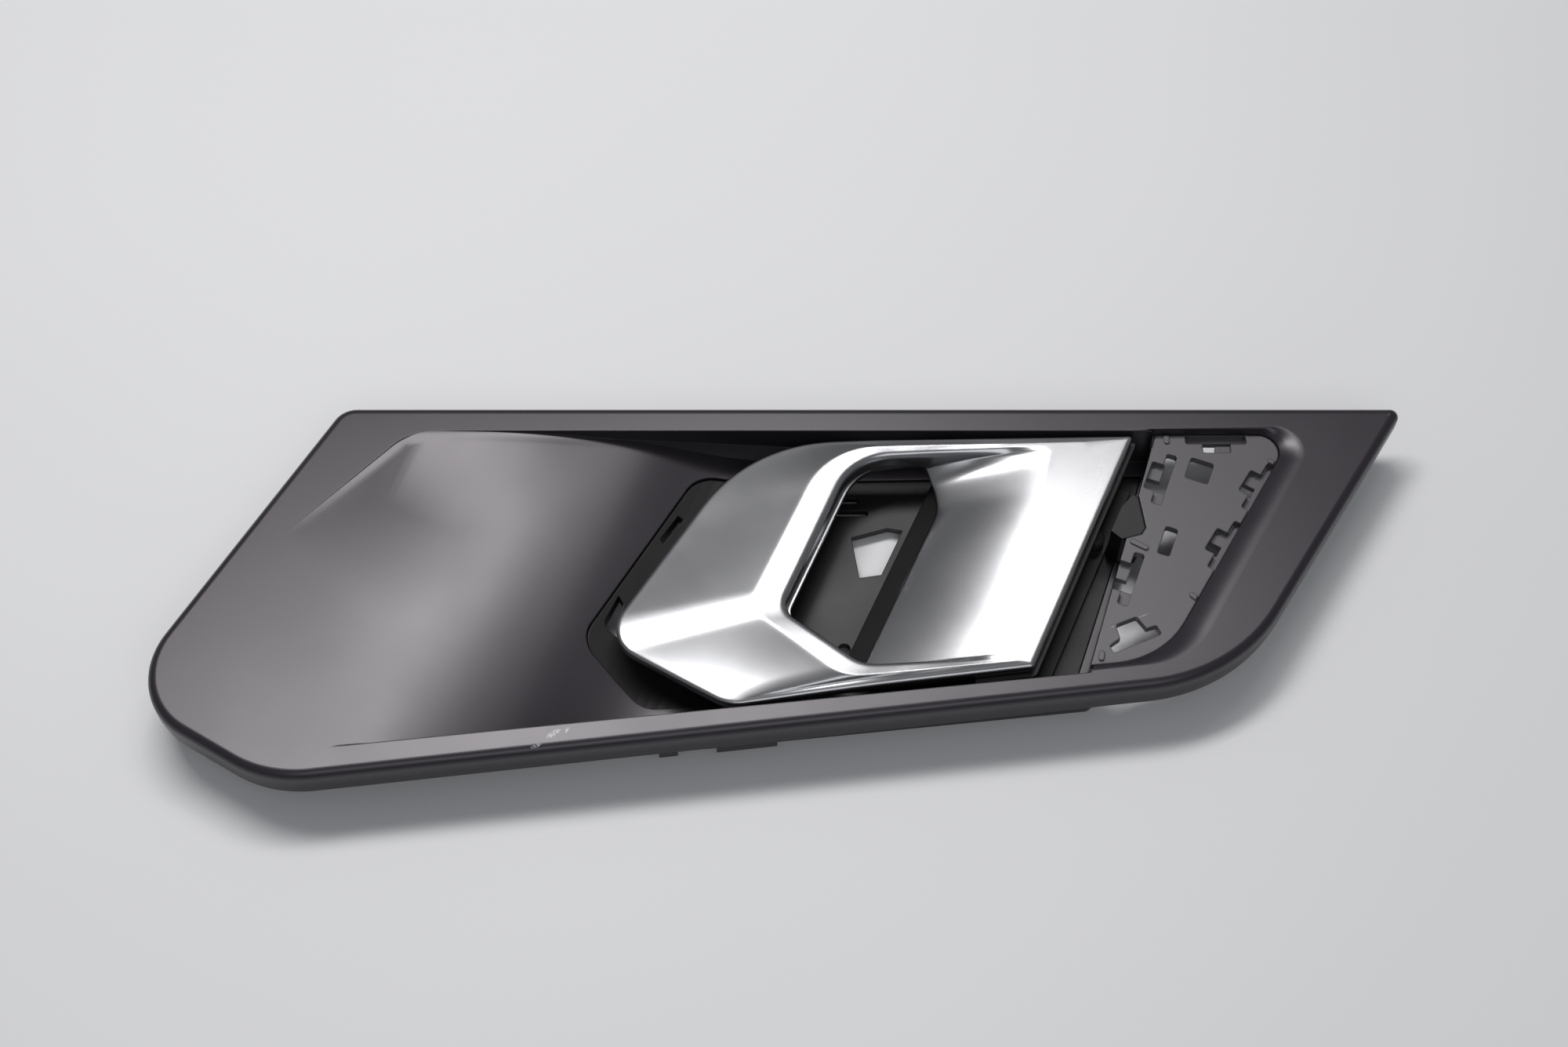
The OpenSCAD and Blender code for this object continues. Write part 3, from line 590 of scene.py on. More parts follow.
@dataclass(frozen=True)
class LeverForm:
    """The lever's measured outlines and heights, in mm.

    Attributes:
        face: Height of the trim's face.
        skirt: Height of the shell's skirt.
        shell: Thickness of the shell.
        crest_over: Height of the crest's right end over the face.
        rim_over: Height of the right end of the hole's edge over the face.
        edge_fall: Fall of the edge line towards the left.
        crest_rise: Rise of the crest towards the left.
        crest_fall: Fall of the crest towards the right.
        rim_rise: Rise of the hole's edge towards the left.
        scoop: Depth of the scoop at its lip.
        wall: Depth of the hole's wall left of the scoop.
        wall_run: Length in which the scoop's depth becomes the wall's.
        fillet: Radius with which the scoop runs up to its top end.
    """

    face: float = 20.0
    skirt: float = 3.2
    shell: float = 1.8
    crest_over: float = 0.45
    rim_over: float = 0.15
    edge_fall: Sweep = Sweep(25, 70, -3.3)
    crest_rise: Sweep = Sweep(30, 45, 2.2)
    crest_fall: Sweep = Sweep(35, -25, -0.3)
    rim_rise: Sweep = Sweep(27, 32, 1.65)
    scoop: float = 9.3
    wall: float = 4.8
    wall_run: float = 9.0
    fillet: float = 6.5

    @property
    def outline(self) -> Loop:
        """Returns the lever's edge line."""
        return Loop(((94.8, 48.0), (-13.8, 46.0), (-52, -15.2), (-17.7, low_edge(-17.7) + 1.8),
                     (62.2, low_edge(62.2) + 3.5)), (1, 42, 10, 12, 1))

    @property
    def crest(self) -> Loop:
        """Returns the crest line round the finger hole."""
        return Loop(((82, 45.5), (9, 43.2), (-13, -9), (12, low_edge(12) + 5.3),
                     (58, low_edge(62.2) + 5.2)), (2, 22, 8, 12, 2))

    @property
    def hole(self) -> Loop:
        """Returns the edge of the finger hole, which runs on round the scoop."""
        return Loop(((71.7, 42.9), (16.5, 39.9), (-3.6, -8.8), (17.5, low_edge(17.5) + 9.7),
                     (53.5, low_edge(53.5) + 7.8)), (1.2, 16, 5, 10, 1.2))

    def lip_x(self, y: np.ndarray | float) -> np.ndarray:
        """Returns the scoop's lip at y, straight below and curved above."""
        return np.where(np.asarray(y) < 28, 39.2 + 0.438 * (y - 28), 39.3 - 3.6 * ((y - 30) / 13) ** 2)

    @property
    def inner(self) -> Loop:
        """The foot of the hole's wall and the scoop's lip.

        Returns:
            The outline.
        """
        top, low = self.hole.corners[0][1] - 0.8, self.hole.corners[4][1] - 1
        inside = self.hole.inset(1).corners
        lip_top, lip_low = float(self.lip_x(top)), float(self.lip_x(low))
        return Loop(((lip_top, top), inside[1], inside[2], (lip_low - 1.5, low + 0.9), (lip_low, low)),
                    (0.4, 15, 4, 0.5, 0.4))

    def edge_h(self, x: np.ndarray) -> np.ndarray:
        """Returns the height of the edge line."""
        return self.face + self.edge_fall.at(x)

    def crest_h(self, x: np.ndarray) -> np.ndarray:
        """Returns the height of the crest."""
        return self.face + self.crest_over + self.crest_rise.at(x) + self.crest_fall.at(x)

    def rim_h(self, x: np.ndarray) -> np.ndarray:
        """Returns the height of the hole's edge."""
        return self.face + self.rim_over + self.rim_rise.at(x)

    def well(self, q: np.ndarray) -> np.ndarray:
        """Returns the depth of the hole's wall or of the scoop.

        Args:
            q: Points in plan.

        Returns:
            The depths.
        """
        x, y = q[:, 0], q[:, 1]
        top, low = self.hole.corners[0], self.hole.corners[4]
        rim = low[0] + (top[0] - low[0]) * (y - low[1]) / (top[1] - low[1])
        lip = self.lip_x(y)
        t = (x - lip) / (rim - lip)
        left = self.scoop - (self.scoop - self.wall) * np.clip((lip - x) / self.wall_run, 0, 1)
        depth = np.where(t >= 1, 0, np.where(t >= 0, self.scoop * np.clip(1 - t, 0, 1) ** 1.6, left))
        rise = np.clip((top[1] - y) / self.fillet, 0, 1)
        rounded = np.sqrt(np.clip(1 - (1 - rise) ** 2, 0, 1))
        return depth * (1 + (rounded - 1) * ease((x - 26) / 8))


@dataclass
class LeverShell:
    """The plated shell of the lever, lofted through rings and smoothed.

    Attributes:
        form: The lever's outlines and heights.
        steps: Steps along each corner's arc.
        straights: Spaces on the straight after each corner.
        round_over: Inset and drop of each ring over the outer edge, in mm.
        slope_shares: Places of the rings between the edge and the crest.
        crest_shares: Places of the rings between the crest and the hole.
        well_shares: Places of the rings between the hole's edge and the scoop's lip.
        rim_width: Width of the hole's rounded edge, in mm.
        rim_drop: Drop of the hole's rounded edge, in mm.
        levels: Levels of the final smoothing.
    """

    form: LeverForm = field(default_factory=LeverForm)
    steps: int = 10
    straights: tuple[int, ...] = (36, 18, 12, 30, 30)
    round_over: tuple[Pair, ...] = ((0, 1.3), (0.1, 0.7), (0.45, 0.3), (0.9, 0.08))
    slope_shares: tuple[float, ...] = (0, 0.3, 0.6, 0.86, 0.95)
    crest_shares: tuple[float, ...] = (0, 0.1, 0.4, 0.8, 1)
    well_shares: tuple[float, ...] = (0, 0.15, 0.3, 0.45, 0.6, 0.75, 0.9)
    rim_width: float = 1.2
    rim_drop: float = 0.9
    levels: int = 2

    def edge(self, inset: float, drop: float) -> np.ndarray:
        """Returns a ring along the edge line, set in and lowered."""
        q = self.form.outline.inset(inset).points(self.straights, self.steps)
        return np.column_stack([q, self.form.edge_h(q[:, 0]) - drop])

    def crest(self) -> np.ndarray:
        """Returns the plan of the ring along the crest."""
        return self.form.crest.points(self.straights, self.steps)

    def hole(self, out: float) -> np.ndarray:
        """Returns the plan of a ring outside the hole's edge.

        Args:
            out: Distance from the edge in mm, negative for inwards.

        Returns:
            Its points in plan.
        """
        line = self.form.hole
        grown = Loop(line.inset(-out).corners, tuple(r + out for r in line.radii))
        return grown.points(self.straights, self.steps, 0.7, 0.8)

    def inner(self) -> np.ndarray:
        """Returns the plan of the innermost ring.

        Returns:
            Its points in plan.
        """
        q = self.form.inner.points(self.straights, self.steps, 0.7, 0.06)
        right = len(q) - self.straights[4] + 1
        q[right:, 0] = self.form.lip_x(q[right:, 1])
        return q

    def well(self, q: np.ndarray, down: float) -> np.ndarray:
        """Returns a ring on the wall or the scoop, lowered."""
        return np.column_stack([q, self.form.rim_h(q[:, 0]) - self.form.well(q) - down])

    def outer_rings(self) -> list[np.ndarray]:
        """Builds the rings up the skirt and over the outer edge.

        Returns:
            The rings.
        """
        skirt = self.form.skirt
        foot = [self.edge(0.25, skirt), self.edge(0.15, skirt - 0.2)]
        return foot + [self.edge(inset, drop) for inset, drop in self.round_over]

    def top_rings(self) -> list[np.ndarray]:
        """Builds the rings from the outer edge over the crest to the hole.

        Returns:
            The rings.
        """
        form, start, crest_plan = self.form, self.edge(1.5, 0), self.crest()
        crest = np.column_stack([crest_plan, form.crest_h(crest_plan[:, 0])])
        rim_plan, edge_plan = self.hole(self.rim_width), self.hole(0)
        rim = np.column_stack([rim_plan, form.rim_h(rim_plan[:, 0])])
        drop = np.minimum(self.rim_drop, form.well(edge_plan))
        edge = np.column_stack([edge_plan, form.rim_h(edge_plan[:, 0]) - drop])
        rings = [start + (crest - start) * t for t in self.slope_shares]
        return rings + [crest + (rim - crest) * t for t in self.crest_shares] + [edge]

    def well_rings(self) -> list[np.ndarray]:
        """Builds the rings down the hole's wall and the scoop, and round their lip.

        Returns:
            The rings.
        """
        foot, inner, shell = self.hole(-0.2), self.inner(), self.form.shell
        rings = [self.well(foot + (inner - foot) * t, 0) for t in self.well_shares]
        rings += [self.well(inner, down) for down in (0.1, 0.5, shell)]
        return rings + [self.well(foot + (inner - foot) * 0.6, shell + 0.1)]

    def under_rings(self) -> list[np.ndarray]:
        """Builds the rings back to the skirt on the shell's underside.

        Returns:
            The rings.
        """
        form, hole, crest = self.form, self.hole(self.form.shell), self.crest()
        deep = np.maximum(form.well(hole), form.skirt - form.shell + 0.2)
        by_hole = np.column_stack([hole, form.rim_h(hole[:, 0]) - deep - form.shell])
        low = form.edge_h(crest[:, 0]) - form.skirt + 0.1
        high = form.crest_h(crest[:, 0]) - form.shell - 0.4
        by_crest = np.column_stack([crest, low + (high - low) * ease((2 - crest[:, 0]) / 20)])
        return [by_hole, by_crest, self.edge(1.8, form.skirt)]

    def build(self, finish: bpy.types.Material) -> bpy.types.Object:
        """Builds, smooths and dresses the shell.

        Args:
            finish: Material of the shell.

        Returns:
            The finished object.
        """
        rings = self.outer_rings() + self.top_rings() + self.well_rings() + self.under_rings()
        n, k = len(rings[0]), len(rings)
        faces = [(j * n + i, j * n + (i + 1) % n, (j + 1) % k * n + (i + 1) % n, (j + 1) % k * n + i)
                 for j in range(k) for i in range(n)]
        mesh = bpy.data.meshes.new("plated_shell")
        mesh.from_pydata((np.vstack(rings) * MM).tolist(), [], faces)
        shell = new_piece("plated_shell", mesh)
        turn_outwards()
        shell.modifiers.new("smooth", "SUBSURF").levels = self.levels
        bpy.ops.object.modifier_apply(modifier="smooth")
        bpy.ops.object.shade_smooth()
        shell.data.materials.append(finish)
        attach(shell, Body.LEVER.value)
        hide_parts("lever_cover")
        LOG.info("plated shell: %d rings, %d faces", k, len(shell.data.polygons))
        return shell


# Bezel


class Zone(IntEnum):
    """The parts of the bezel's face seen from above, in the order in which they are built."""

    DISH = 0
    FACE = 1
    SURROUND = 2
    NONE = 3


@dataclass(frozen=True)
class BezelForm:
    """The bezel's measured outlines and depths, in mm.

    Attributes:
        coat: Thickness of the paint over the moulding.
        face: Height of the moulding's face.
        edge: Radius of the edge between face and skirt.
        skirt: Height of the skirt's foot.
        lean_from: Height under which the skirt leans in.
        lean_in: How far the skirt's foot leans in.
        surround_drop: Depth of the surround at the carrier plate's opening.
        top: Upper edge of the dish.
        slant: Tangent of the slant of the dish's lines of equal depth.
        shallow_from: Start of the dish's shallow part.
        steep_from: Start of its steep part, where the shallow part ends.
        steep_run: Length of the steep part.
        shallow_depth: Depth of the shallow part at its end.
        corner_depth: Depth of the crease at the dish's upper left corner.
        corner_width: Width in which that crease is reached.
        left_width: Width in which the dish starts from its left side.
    """

    coat: float = 0.1
    face: float = 20.0
    edge: float = 2.5
    skirt: float = 11.0
    lean_from: float = 14.0
    lean_in: float = 0.4
    surround_drop: float = 2.2
    top: float = 49.3
    slant: float = 0.38
    shallow_from: float = -110.0
    steep_from: float = -42.0
    steep_run: float = 38.0
    shallow_depth: float = 6.4
    corner_depth: float = 0.45
    corner_width: float = 5.0
    left_width: float = 20.0

    @property
    def outline(self) -> Loop:
        """The outline of the bezel, from its upper left corner.

        Returns:
            The outline.
        """
        nose, heel, tip = (-177.567, -33.5), (-135.5, -58.639), (171.867, 57.5)
        left = (nose[0] + (tip[1] - nose[1]) * slope(28.6), tip[1])
        right = right_corner(heel, tip, slope(6.8), slope(32.9))
        return Loop((left, nose, heel, right, tip), (7, 22, 34, 50, 2.2))

    @property
    def dish(self) -> Loop:
        """Returns the outline of the dish."""
        return Loop(((-108, self.top), (-146, 8), (-120, low_edge(-120)), (77.2, low_edge(77.2)),
                     (101, self.top)), (16, 20, 0.5, 0.5, 0.5))

    @property
    def pocket(self) -> Loop:
        """Returns the outline of the pocket's opening."""
        return Loop(((-28, 42), (-58.4, -12.6), (-41.4, low_edge(-41.4) + 10), (75.2, low_edge(75) + 5),
                     (99, self.top - 4.8)), (10, 8, 8, 1, 1))

    @property
    def opening(self) -> Loop:
        """The outline of the carrier plate's opening.

        Returns:
            The outline.
        """
        low, high = (77.2, low_edge(77.2) + 3.4), (139.9, self.top + 0.5)
        corner = right_corner(low, high, 0.1, slope(30.8))
        return Loop((low, corner, high, (101, high[1])), (0.5, 26, 6, 0.5))

    @property
    def surround(self) -> Loop:
        """The upper line of the tapered surround.

        Returns:
            The outline.
        """
        low, high = (76, low_edge(76) + 0.3), (148, self.top + 1.8)
        corner = right_corner(low, high, 0.12, slope(30.2))
        return Loop((low, corner, high, (90, self.top + 0.5)), (0.5, 22, 8, 0.3))

    def run(self, x: np.ndarray, y: np.ndarray) -> np.ndarray:
        """Returns the distance along the dish, at the top edge's scale."""
        return x + self.slant * (self.top - y)

    def depth(self, x: np.ndarray, y: np.ndarray) -> np.ndarray:
        """Returns the depth of the dish's floor.

        Args:
            x: Places along the length.
            y: Places across it.

        Returns:
            The depths.
        """
        u = self.run(x, y)
        t = np.clip((u - self.shallow_from) / (self.steep_from - self.shallow_from), 0, 1)
        s = np.clip((u - self.steep_from) / self.steep_run, 0, 1)
        shallow = self.shallow_depth * (0.125 * t * t + 0.875 * t ** 3)
        steep = 10.28 * s + 7.64 * s * s - 8.52 * s ** 3
        left = (x + 120) * 0.911 + (y + 49) * 0.415
        corner = np.minimum(self.top - y, (x + 108) * 0.736 - (y - self.top) * 0.677 + 2)
        crease = self.corner_depth * ease(corner / self.corner_width) * ease((y - 12) / 30)
        return (shallow + steep) * ease(left / self.left_width) + crease * ease((-40 - x) / 30)


@dataclass(frozen=True)
class FaceLines:
    """The closed lines of the bezel's face, in plan.

    Attributes:
        border: Where the flat face meets the rounded edge.
        dish: Outline of the dish.
        pocket: Outline of the pocket's opening.
        opening: Outline of the carrier plate's opening.
        crest: Upper line of the surround.
    """

    border: np.ndarray
    dish: np.ndarray
    pocket: np.ndarray
    opening: np.ndarray
    crest: np.ndarray


@dataclass
class FacePlan:
    """The bezel's face cut into triangles, in plan.

    Attributes:
        points: The points.
        triangles: Three point numbers for each triangle.
        border: The point numbers of the border, in order.
    """

    points: np.ndarray
    triangles: np.ndarray
    border: list[int]

    @classmethod
    def cut(cls, border: np.ndarray, cuts: list[np.ndarray]) -> "FacePlan":
        """Cuts the face into triangles.

        Args:
            border: Closed line round the face.
            cuts: Open lines that no triangle crosses.

        Returns:
            The plan.
        """
        coords = list(border)
        edges = [(i, (i + 1) % len(border)) for i in range(len(border))]
        for line in cuts:
            start = len(coords)
            coords += list(line)
            edges += [(start + i, start + i + 1) for i in range(len(line) - 1)]
        flat = [Vector(map(float, c)) for c in coords]
        points, _, triangles, sources, _, _ = delaunay_2d_cdt(flat, edges, [], 0, 1e-4)
        number = {i: k for k, group in enumerate(sources) for i in group}
        return cls(np.array([tuple(p) for p in points]), np.array([tuple(t) for t in triangles]),
                   [number[i] for i in range(len(border))])

    def zones(self, lines: FaceLines, sliver: float) -> np.ndarray:
        """Sorts the triangles into zones.

        Args:
            lines: The lines of the face.
            sliver: Twice the area under which a triangle along the border is left out.

        Returns:
            The zone of each triangle.
        """
        corners = self.points[self.triangles]
        middles = corners.mean(axis=1)
        a, b = corners[:, 1] - corners[:, 0], corners[:, 2] - corners[:, 0]
        thin = np.abs(a[:, 0] * b[:, 1] - a[:, 1] * b[:, 0]) < sliver
        along = np.isin(self.triangles, self.border).all(axis=1)
        holes = within(middles, lines.pocket) | within(middles, lines.opening)
        zone = np.full(len(corners), int(Zone.FACE))
        zone[within(middles, lines.crest)] = Zone.SURROUND
        zone[within(middles, lines.dish)] = Zone.DISH
        zone[holes | ~within(middles, lines.border) | (along & thin)] = Zone.NONE
        return zone


@dataclass
class CoatSheet:
    """The surface of the coat before it gets its thickness.

    Attributes:
        plan: The face in plan.
        zone: The zone of each triangle.
        height: The heights of the plan's points in each zone, in mm.
        lip: How far the sheet runs down into the openings, in mm.
        verts: The vertices, in mm.
        faces: The faces.
        made: The vertex of each point and height, in hundredths of a mm.
    """

    plan: FacePlan
    zone: np.ndarray
    height: dict[Zone, np.ndarray]
    lip: float
    verts: list[Place] = field(default_factory=list)
    faces: list[tuple[int, ...]] = field(default_factory=list)
    made: dict[tuple[int, int], int] = field(default_factory=dict)

    def vertex(self, point: int, zone: Zone, down: bool = False) -> int:
        """Returns the vertex of a plan point in a zone, and adds it where it is new.

        Args:
            point: The point's number.
            zone: The zone.
            down: Whether the vertex is the foot of the lip.

        Returns:
            The vertex's number.
        """
        z = self.height[zone][point] - (self.lip if down else 0)
        key = (point, round(z * 100))
        if key not in self.made:
            self.made[key] = len(self.verts)
            self.verts.append((*self.plan.points[point], z))
        return self.made[key]

    def add_face(self, corners: tuple[int, ...]) -> None:
        """Adds a face, unless its corners have run together.

        Args:
            corners: Its vertices.
        """
        apart = tuple(dict.fromkeys(corners))
        if len(apart) > 2:
            self.faces.append(apart)

    def add_floors(self) -> None:
        """Adds every zone's triangles, those of the dish first and then those of the flat face."""
        for k in np.argsort(self.zone, kind="stable"):
            if self.zone[k] != Zone.NONE:
                corners = self.plan.triangles[k].tolist()
                self.add_face(tuple(self.vertex(i, Zone(self.zone[k])) for i in corners))

    def add_walls(self) -> None:
        """Joins zones at different heights and runs the sheet down into the openings."""
        sides: dict[tuple[int, int], Zone] = {}
        for triangle, zone in zip(self.plan.triangles.tolist(), self.zone):
            for a, b in zip(triangle, triangle[1:] + triangle[:1]):
                sides[a, b] = Zone(zone)
        border = set(self.plan.border)
        for (a, b), here in sides.items():
            there = sides.get((b, a), Zone.NONE)
            if here >= there or {a, b} <= border:
                continue
            down = there is Zone.NONE
            foot = here if down else there
            self.add_face((self.vertex(b, here), self.vertex(a, here), self.vertex(a, foot, down),
                           self.vertex(b, foot, down)))

    def add_rim(self, rings: list[np.ndarray]) -> None:
        """Adds the rounded edge and the skirt.

        Args:
            rings: The rings from the flat face outwards and down, in mm.
        """
        n = len(self.plan.border)
        last = [self.vertex(i, Zone.FACE) for i in self.plan.border]
        for ring in rings:
            here = list(range(len(self.verts), len(self.verts) + n))
            self.verts += [tuple(p) for p in ring]
            for i in range(n):
                self.add_face((last[i], here[i], here[(i + 1) % n], last[(i + 1) % n]))
            last = here


@dataclass
class BezelCoat:
    """The painted outer surface of the bezel, smooth where the moulding is smooth.

    Attributes:
        form: The bezel's outlines and depths.
        steps: Steps along each corner's arc.
        rim_steps: Steps round the edge between face and skirt.
        spacing: Spacing of the dish's lines of equal depth, in mm.
        dish_insets: Insets of the extra lines along the dish's outline, in mm.
        surround_shares: Places of the extra lines across the surround.
        lip: How far the coat runs down into the openings, in mm.
        foot: How far the coat turns in under the skirt, in mm.
        thickness: Thickness of the coat, in mm.
        sliver: Twice the area of the thinnest triangle kept along the border, in square mm.
        crease: Sharpest angle that is shaded smooth, in degrees.
    """

    form: BezelForm = field(default_factory=BezelForm)
    steps: int = 20
    rim_steps: int = 9
    spacing: float = 2.0
    dish_insets: tuple[float, ...] = (0.9, 1.8, 2.7, 3.6)
    surround_shares: tuple[float, ...] = (0.25, 0.5, 0.7, 0.85, 0.95)
    lip: float = 1.3
    foot: float = 0.9
    thickness: float = 0.55
    sliver: float = 0.002
    crease: float = 28.0

    def outline_ring(self, inset: float, height: float) -> np.ndarray:
        """Returns a ring along the outline, set in, at a height."""
        q = self.form.outline.inset(inset).points((12, 8, 8, 20, 6), self.steps)
        return np.column_stack([q, np.full(len(q), height)])

    def loop(self, line: Loop, inset: float) -> np.ndarray:
        """Returns the plan of an outline, set in."""
        return line.inset(inset).points((1,) * len(line.corners), self.steps)

    def lines(self) -> FaceLines:
        """Draws the closed lines of the face.

        Returns:
            The lines.
        """
        form = self.form
        border = self.outline_ring(form.edge, form.face)[:, :2]
        inner = [self.loop(line, form.coat) for line in (form.dish, form.pocket, form.opening)]
        return FaceLines(border, *inner, self.loop(form.surround, 0))

    def cuts(self, lines: FaceLines) -> list[np.ndarray]:
        """Draws the lines that the face is cut along.

        Args:
            lines: The closed lines of the face.

        Returns:
            Open lines, the closed ones with their first point repeated.
        """
        form = self.form
        closed = [lines.dish, lines.pocket, lines.opening, lines.crest]
        closed += [self.loop(form.dish, inset) for inset in self.dish_insets]
        closed += [lines.opening + (lines.crest - lines.opening) * t for t in self.surround_shares]
        cuts = [np.vstack([line, line[:1]]) for line in closed]
        y = np.linspace(-52, form.top, 500)
        for u in np.arange(form.shallow_from, -2, self.spacing):
            line = np.column_stack([u - form.slant * (form.top - y), y])
            line = line[within(line, lines.dish)]
            if len(line) > 8:
                cuts.append(line[[0, len(line) // 3, 2 * len(line) // 3, -1]])
        return cuts

    def heights(self, q: np.ndarray, lines: FaceLines) -> dict[Zone, np.ndarray]:
        """Works out the height of every point in every zone.

        Args:
            q: The points in plan.
            lines: The closed lines of the face.

        Returns:
            Heights by zone.
        """
        top = self.form.face + self.form.coat
        low, high = line_distance(q, lines.opening), line_distance(q, lines.crest)
        share = np.clip(low / np.maximum(low + high, 1e-6), 0, 1)
        rise = np.sin(share * math.pi / 2) ** 0.9
        return {Zone.FACE: np.full(len(q), top), Zone.DISH: top - self.form.depth(q[:, 0], q[:, 1]),
                Zone.SURROUND: top - self.form.surround_drop * (1 - rise)}

    def rim_rings(self) -> list[np.ndarray]:
        """Builds the rings round the edge and down the skirt.

        Returns:
            The rings, from the flat face outwards and down.
        """
        form = self.form
        rings = [(form.edge * (1 - math.sin(a)) - form.coat * math.sin(a),
                  form.face - form.edge * (1 - math.cos(a)) + form.coat * math.cos(a))
                 for a in np.linspace(0, math.pi / 2, self.rim_steps + 1)[1:]]
        low = form.skirt - form.coat
        rings += [(-form.coat, form.lean_from), (form.lean_in - form.coat, low), (self.foot, low)]
        return [self.outline_ring(inset, height) for inset, height in rings]

    def build(self, paint: bpy.types.Material) -> bpy.types.Object:
        """Builds the coat's sheet, gives it its thickness and dresses it.

        Args:
            paint: Material of the coat.

        Returns:
            The finished object.
        """
        lines = self.lines()
        plan = FacePlan.cut(lines.border, self.cuts(lines))
        zone = plan.zones(lines, self.sliver)
        sheet = CoatSheet(plan, zone, self.heights(plan.points, lines), self.lip)
        sheet.add_floors()
        sheet.add_walls()
        sheet.add_rim(self.rim_rings())
        mesh = bpy.data.meshes.new("bezel_coat")
        mesh.from_pydata((np.array(sheet.verts) * MM).tolist(), [], sheet.faces)
        coat = new_piece("bezel_coat", mesh)
        turn_outwards()
        up = sum(p.normal.z * p.area for p in mesh.polygons) > 0
        thick = coat.modifiers.new("thickness", "SOLIDIFY")
        thick.thickness = self.thickness * MM
        thick.offset = -1 if up else 1
        bpy.ops.object.modifier_apply(modifier="thickness")
        bpy.ops.object.shade_smooth_by_angle(angle=math.radians(self.crease))
        self.exact_normals(coat.data, int((zone == Zone.DISH).sum()), int((zone == Zone.FACE).sum()))
        coat.data.materials.append(paint)
        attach(coat, Body.TRIM.value)
        LOG.info("bezel coat: %d faces", len(coat.data.polygons))
        return coat

    def exact_normals(self, mesh: bpy.types.Mesh, floor: int, flat: int) -> None:
        """Gives the dish's floor and the flat face the normals of their smooth form.

        Args:
            mesh: The coat's mesh.
            floor: Number of the floor's faces, which come first.
            flat: Number of the flat face's faces, which come next.
        """
        count = sum(len(p.vertices) for p in mesh.polygons[:floor])
        both = count + sum(len(p.vertices) for p in mesh.polygons[floor:floor + flat])
        places = np.empty(len(mesh.vertices) * 3)
        mesh.vertices.foreach_get("co", places)
        corner = np.empty(len(mesh.loops), int)
        mesh.loops.foreach_get("vertex_index", corner)
        x, y = (places.reshape(-1, 3)[corner[:count], :2] / MM).T
        normals, d, depth = np.zeros((len(mesh.loops), 3)), 0.1, self.form.depth
        normals[:count, 0] = (depth(x + d, y) - depth(x - d, y)) / (2 * d)
        normals[:count, 1] = (depth(x, y + d) - depth(x, y - d)) / (2 * d)
        normals[:both, 2] = 1
        normals[:count] /= np.linalg.norm(normals[:count], axis=1)[:, None]
        mesh.normals_split_custom_set(normals.tolist())

    def core(self, paint: bpy.types.Material) -> bpy.types.Object:
        """Copies the moulding with its face lowered to make room for the coat.

        Args:
            paint: Material of the moulding.

        Returns:
            The finished object.
        """
        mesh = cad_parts["bezel"].data.copy()
        core = new_piece("bezel_core", mesh)
        bpy.ops.object.mode_set(mode="EDIT")
        bpy.ops.mesh.select_all(action="SELECT")
        bpy.ops.mesh.remove_doubles(threshold=0.000001)
        bpy.ops.object.mode_set(mode="OBJECT")
        places = np.empty(len(mesh.vertices) * 3)
        mesh.vertices.foreach_get("co", places)
        places = places.reshape(-1, 3) / MM
        z, q, form = places[:, 2], places[:, :2], self.form
        level = form.face - form.depth(q[:, 0], q[:, 1])
        face = within(q, self.loop(form.outline, form.edge - 0.4)) & (np.abs(z - form.face) < 0.05)
        dish = within(q, self.loop(form.dish, -0.1)) & (np.abs(z - level) < 0.8)
        rim = within(q, self.loop(form.surround, -0.2)) & (z > form.face - form.surround_drop - 0.1)
        lowered = face | dish | rim
        places[lowered, 2] -= self.thickness
        mesh.vertices.foreach_set("co", (places * MM).ravel())
        mesh.materials.clear()
        mesh.materials.append(paint)
        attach(core, Body.TRIM.value)
        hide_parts("bezel")
        LOG.info("bezel core: %d vertices lowered", int(lowered.sum()))
        return core


# Studio


@dataclass(frozen=True)
class Lamp:
    """A rectangular area lamp that faces the object.

    Attributes:
        name: Name of the lamp.
        place: Its middle, in mm.
        size: Its width and height, in mm.
        radiance: Brightness of its face.
        colour: Colour of its light.
    """

    name: str
    place: Place
    size: Pair
    radiance: float
    colour: Colour = (1.0, 0.99, 0.985)

    def build(self, target: Place) -> None:
        """Adds the lamp.

        Args:
            target: Point that it faces, in mm.
        """
        data = bpy.data.lights.new(self.name, "AREA")
        data.shape = "RECTANGLE"
        data.size = self.size[0] * MM
        data.size_y = self.size[1] * MM
        data.energy = self.radiance * math.pi * data.size * data.size_y
        data.color = self.colour
        lamp = bpy.data.objects.new(self.name, data)
        lamp.location = Vector(self.place) * MM
        lamp.rotation_euler = (Vector(target) - Vector(self.place)).to_track_quat("-Z", "Y").to_euler()
        bpy.context.scene.collection.objects.link(lamp)


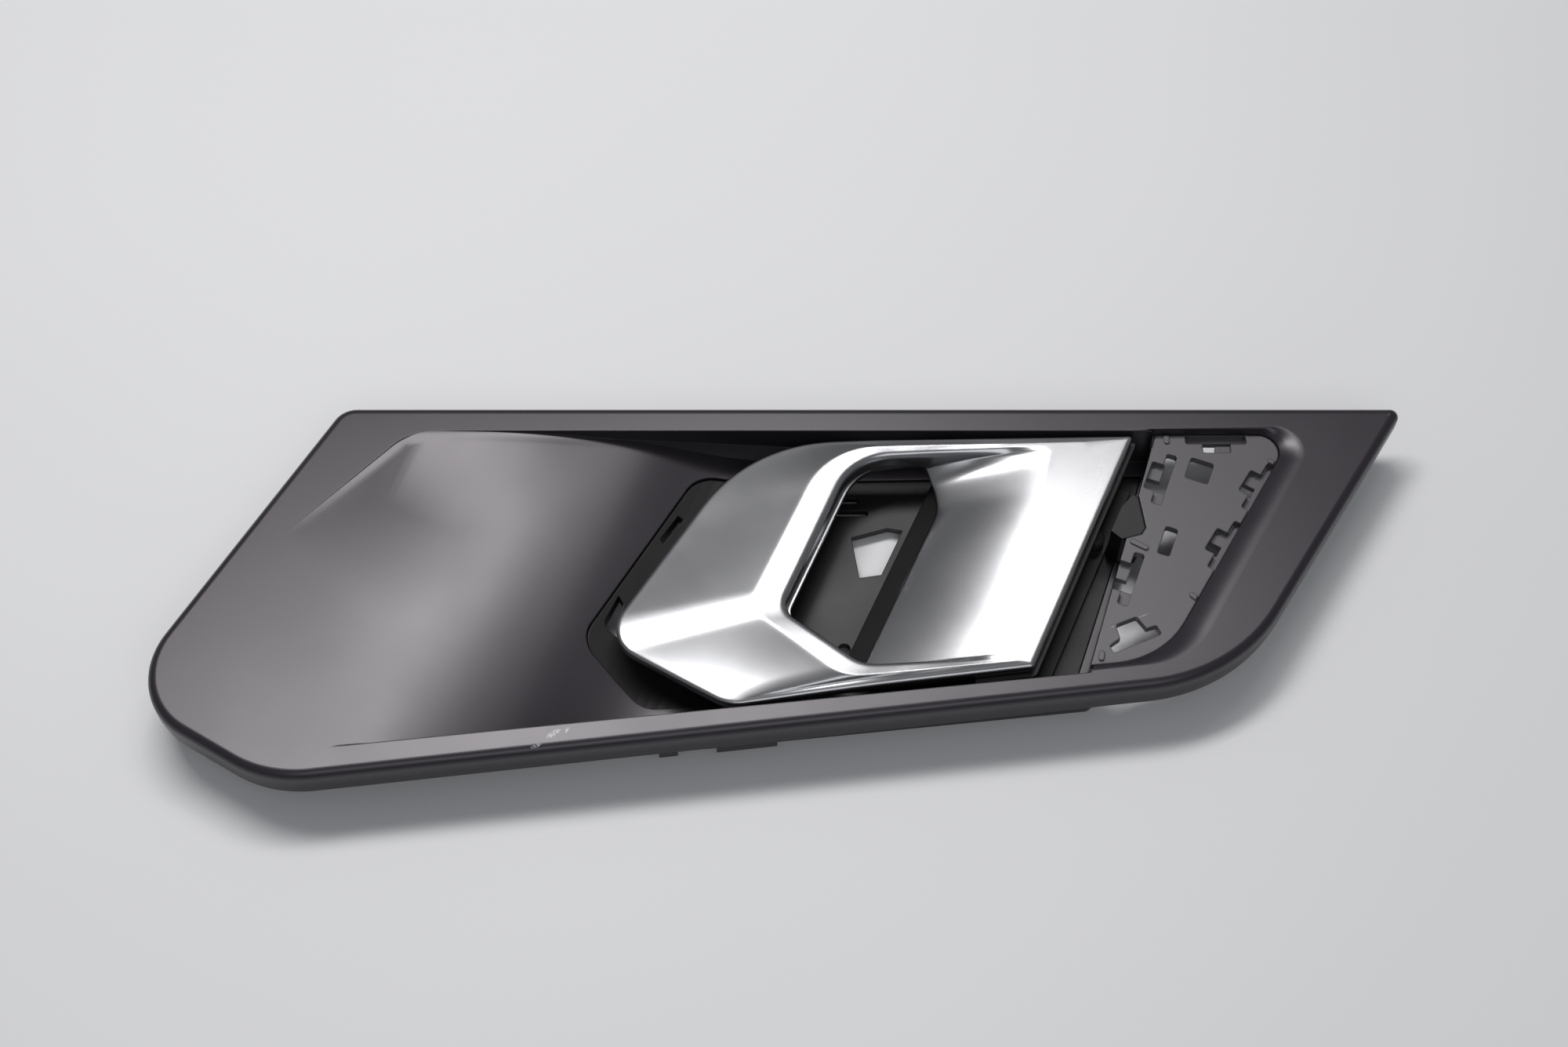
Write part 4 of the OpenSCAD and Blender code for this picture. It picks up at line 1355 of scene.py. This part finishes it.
@dataclass
class Studio:
    """Camera, floor and lights.

    Attributes:
        target: Point that the camera looks at, in mm.
        elevation: Height of the camera over the floor, in degrees.
        distance: Distance of the camera, in mm.
        floor_size: Length and width of the floor, in mm.
        floor_gap: How far the floor lies under the object, in mm.
        lit: Point that the lamps face, in mm.
        lamps: The lamps.
        sky: Colour of the light from all round.
        sky_strength: Strength of that light.
    """

    target: Place = (-3.3, 18.6, 20.0)
    elevation: float = 58.0
    distance: float = 594.0
    floor_size: float = 6000.0
    floor_gap: float = 0.05
    lit: Place = (0.0, 0.0, 20.0)
    lamps: tuple[Lamp, ...] = (
        Lamp("soft_box", (-180, 375, 880), (600, 165), 16.5),
        Lamp("left_box", (-350, 480, 880), (280, 90), 3.5),
        Lamp("side_box", (230, 440, 880), (220, 180), 5.5),
        Lamp("front_fill", (100, -700, 900), (900, 500), 1.4, (0.96, 0.97, 1.0)),
    )
    sky: Colour = (0.95, 0.97, 1.0)
    sky_strength: float = 0.18

    def camera(self) -> None:
        """Adds the camera at the photograph's angle."""
        rise = math.radians(self.elevation)
        back = Vector((0, -math.cos(rise), math.sin(rise))) * self.distance
        data = bpy.data.cameras.new("camera")
        data.lens = 50
        data.sensor_width = 36
        data.clip_start = 0.01
        camera = bpy.data.objects.new("camera", data)
        camera.location = (Vector(self.target) + back) * MM
        camera.rotation_euler = (math.pi / 2 - rise, 0, 0)
        bpy.context.scene.collection.objects.link(camera)
        bpy.context.scene.camera = camera

    def floor(self) -> None:
        """Adds the plain pale floor."""
        bpy.ops.object.select_all(action="DESELECT")
        bpy.ops.mesh.primitive_plane_add(size=self.floor_size * MM, location=(0, 0, -self.floor_gap * MM))
        floor = bpy.context.object
        floor.name = "floor"
        nodes = NodeBuilder.fresh("pale_floor")
        shader = nodes.add("ShaderNodeBsdfPrincipled", Roughness=0.5)
        shader.inputs["Specular IOR Level"].default_value = 0.2
        shade = nodes.mix(nodes.span(nodes.noise(3, 2), 0, 1), (0.8, 0.805, 0.82), (0.82, 0.825, 0.84))
        nodes.link(shade, shader.inputs["Base Color"])
        nodes.surface(shader)
        floor.data.materials.append(nodes.material)

    def world(self) -> None:
        """Adds the even light from all round."""
        world = bpy.data.worlds.new("world")
        world.use_nodes = True
        background = world.node_tree.nodes["Background"]
        background.inputs["Color"].default_value = (*self.sky, 1)
        background.inputs["Strength"].default_value = self.sky_strength
        bpy.context.scene.world = world

    def build(self) -> None:
        """Builds the whole studio."""
        self.camera()
        self.floor()
        for lamp in self.lamps:
            lamp.build(self.lit)
        self.world()
        bpy.context.scene.view_settings.view_transform = "Standard"


def main() -> None:
    """Builds and dresses every piece."""
    logging.basicConfig(level=logging.INFO)
    dress = FrameDress()
    dress.build()
    LeverShell().build(dress.material(SATIN_CHROME))
    coat = BezelCoat()
    coat.build(dress.material(PAINT))
    coat.core(dress.material(PAINT))
    Studio().build()


if __name__ == "__main__":
    main()
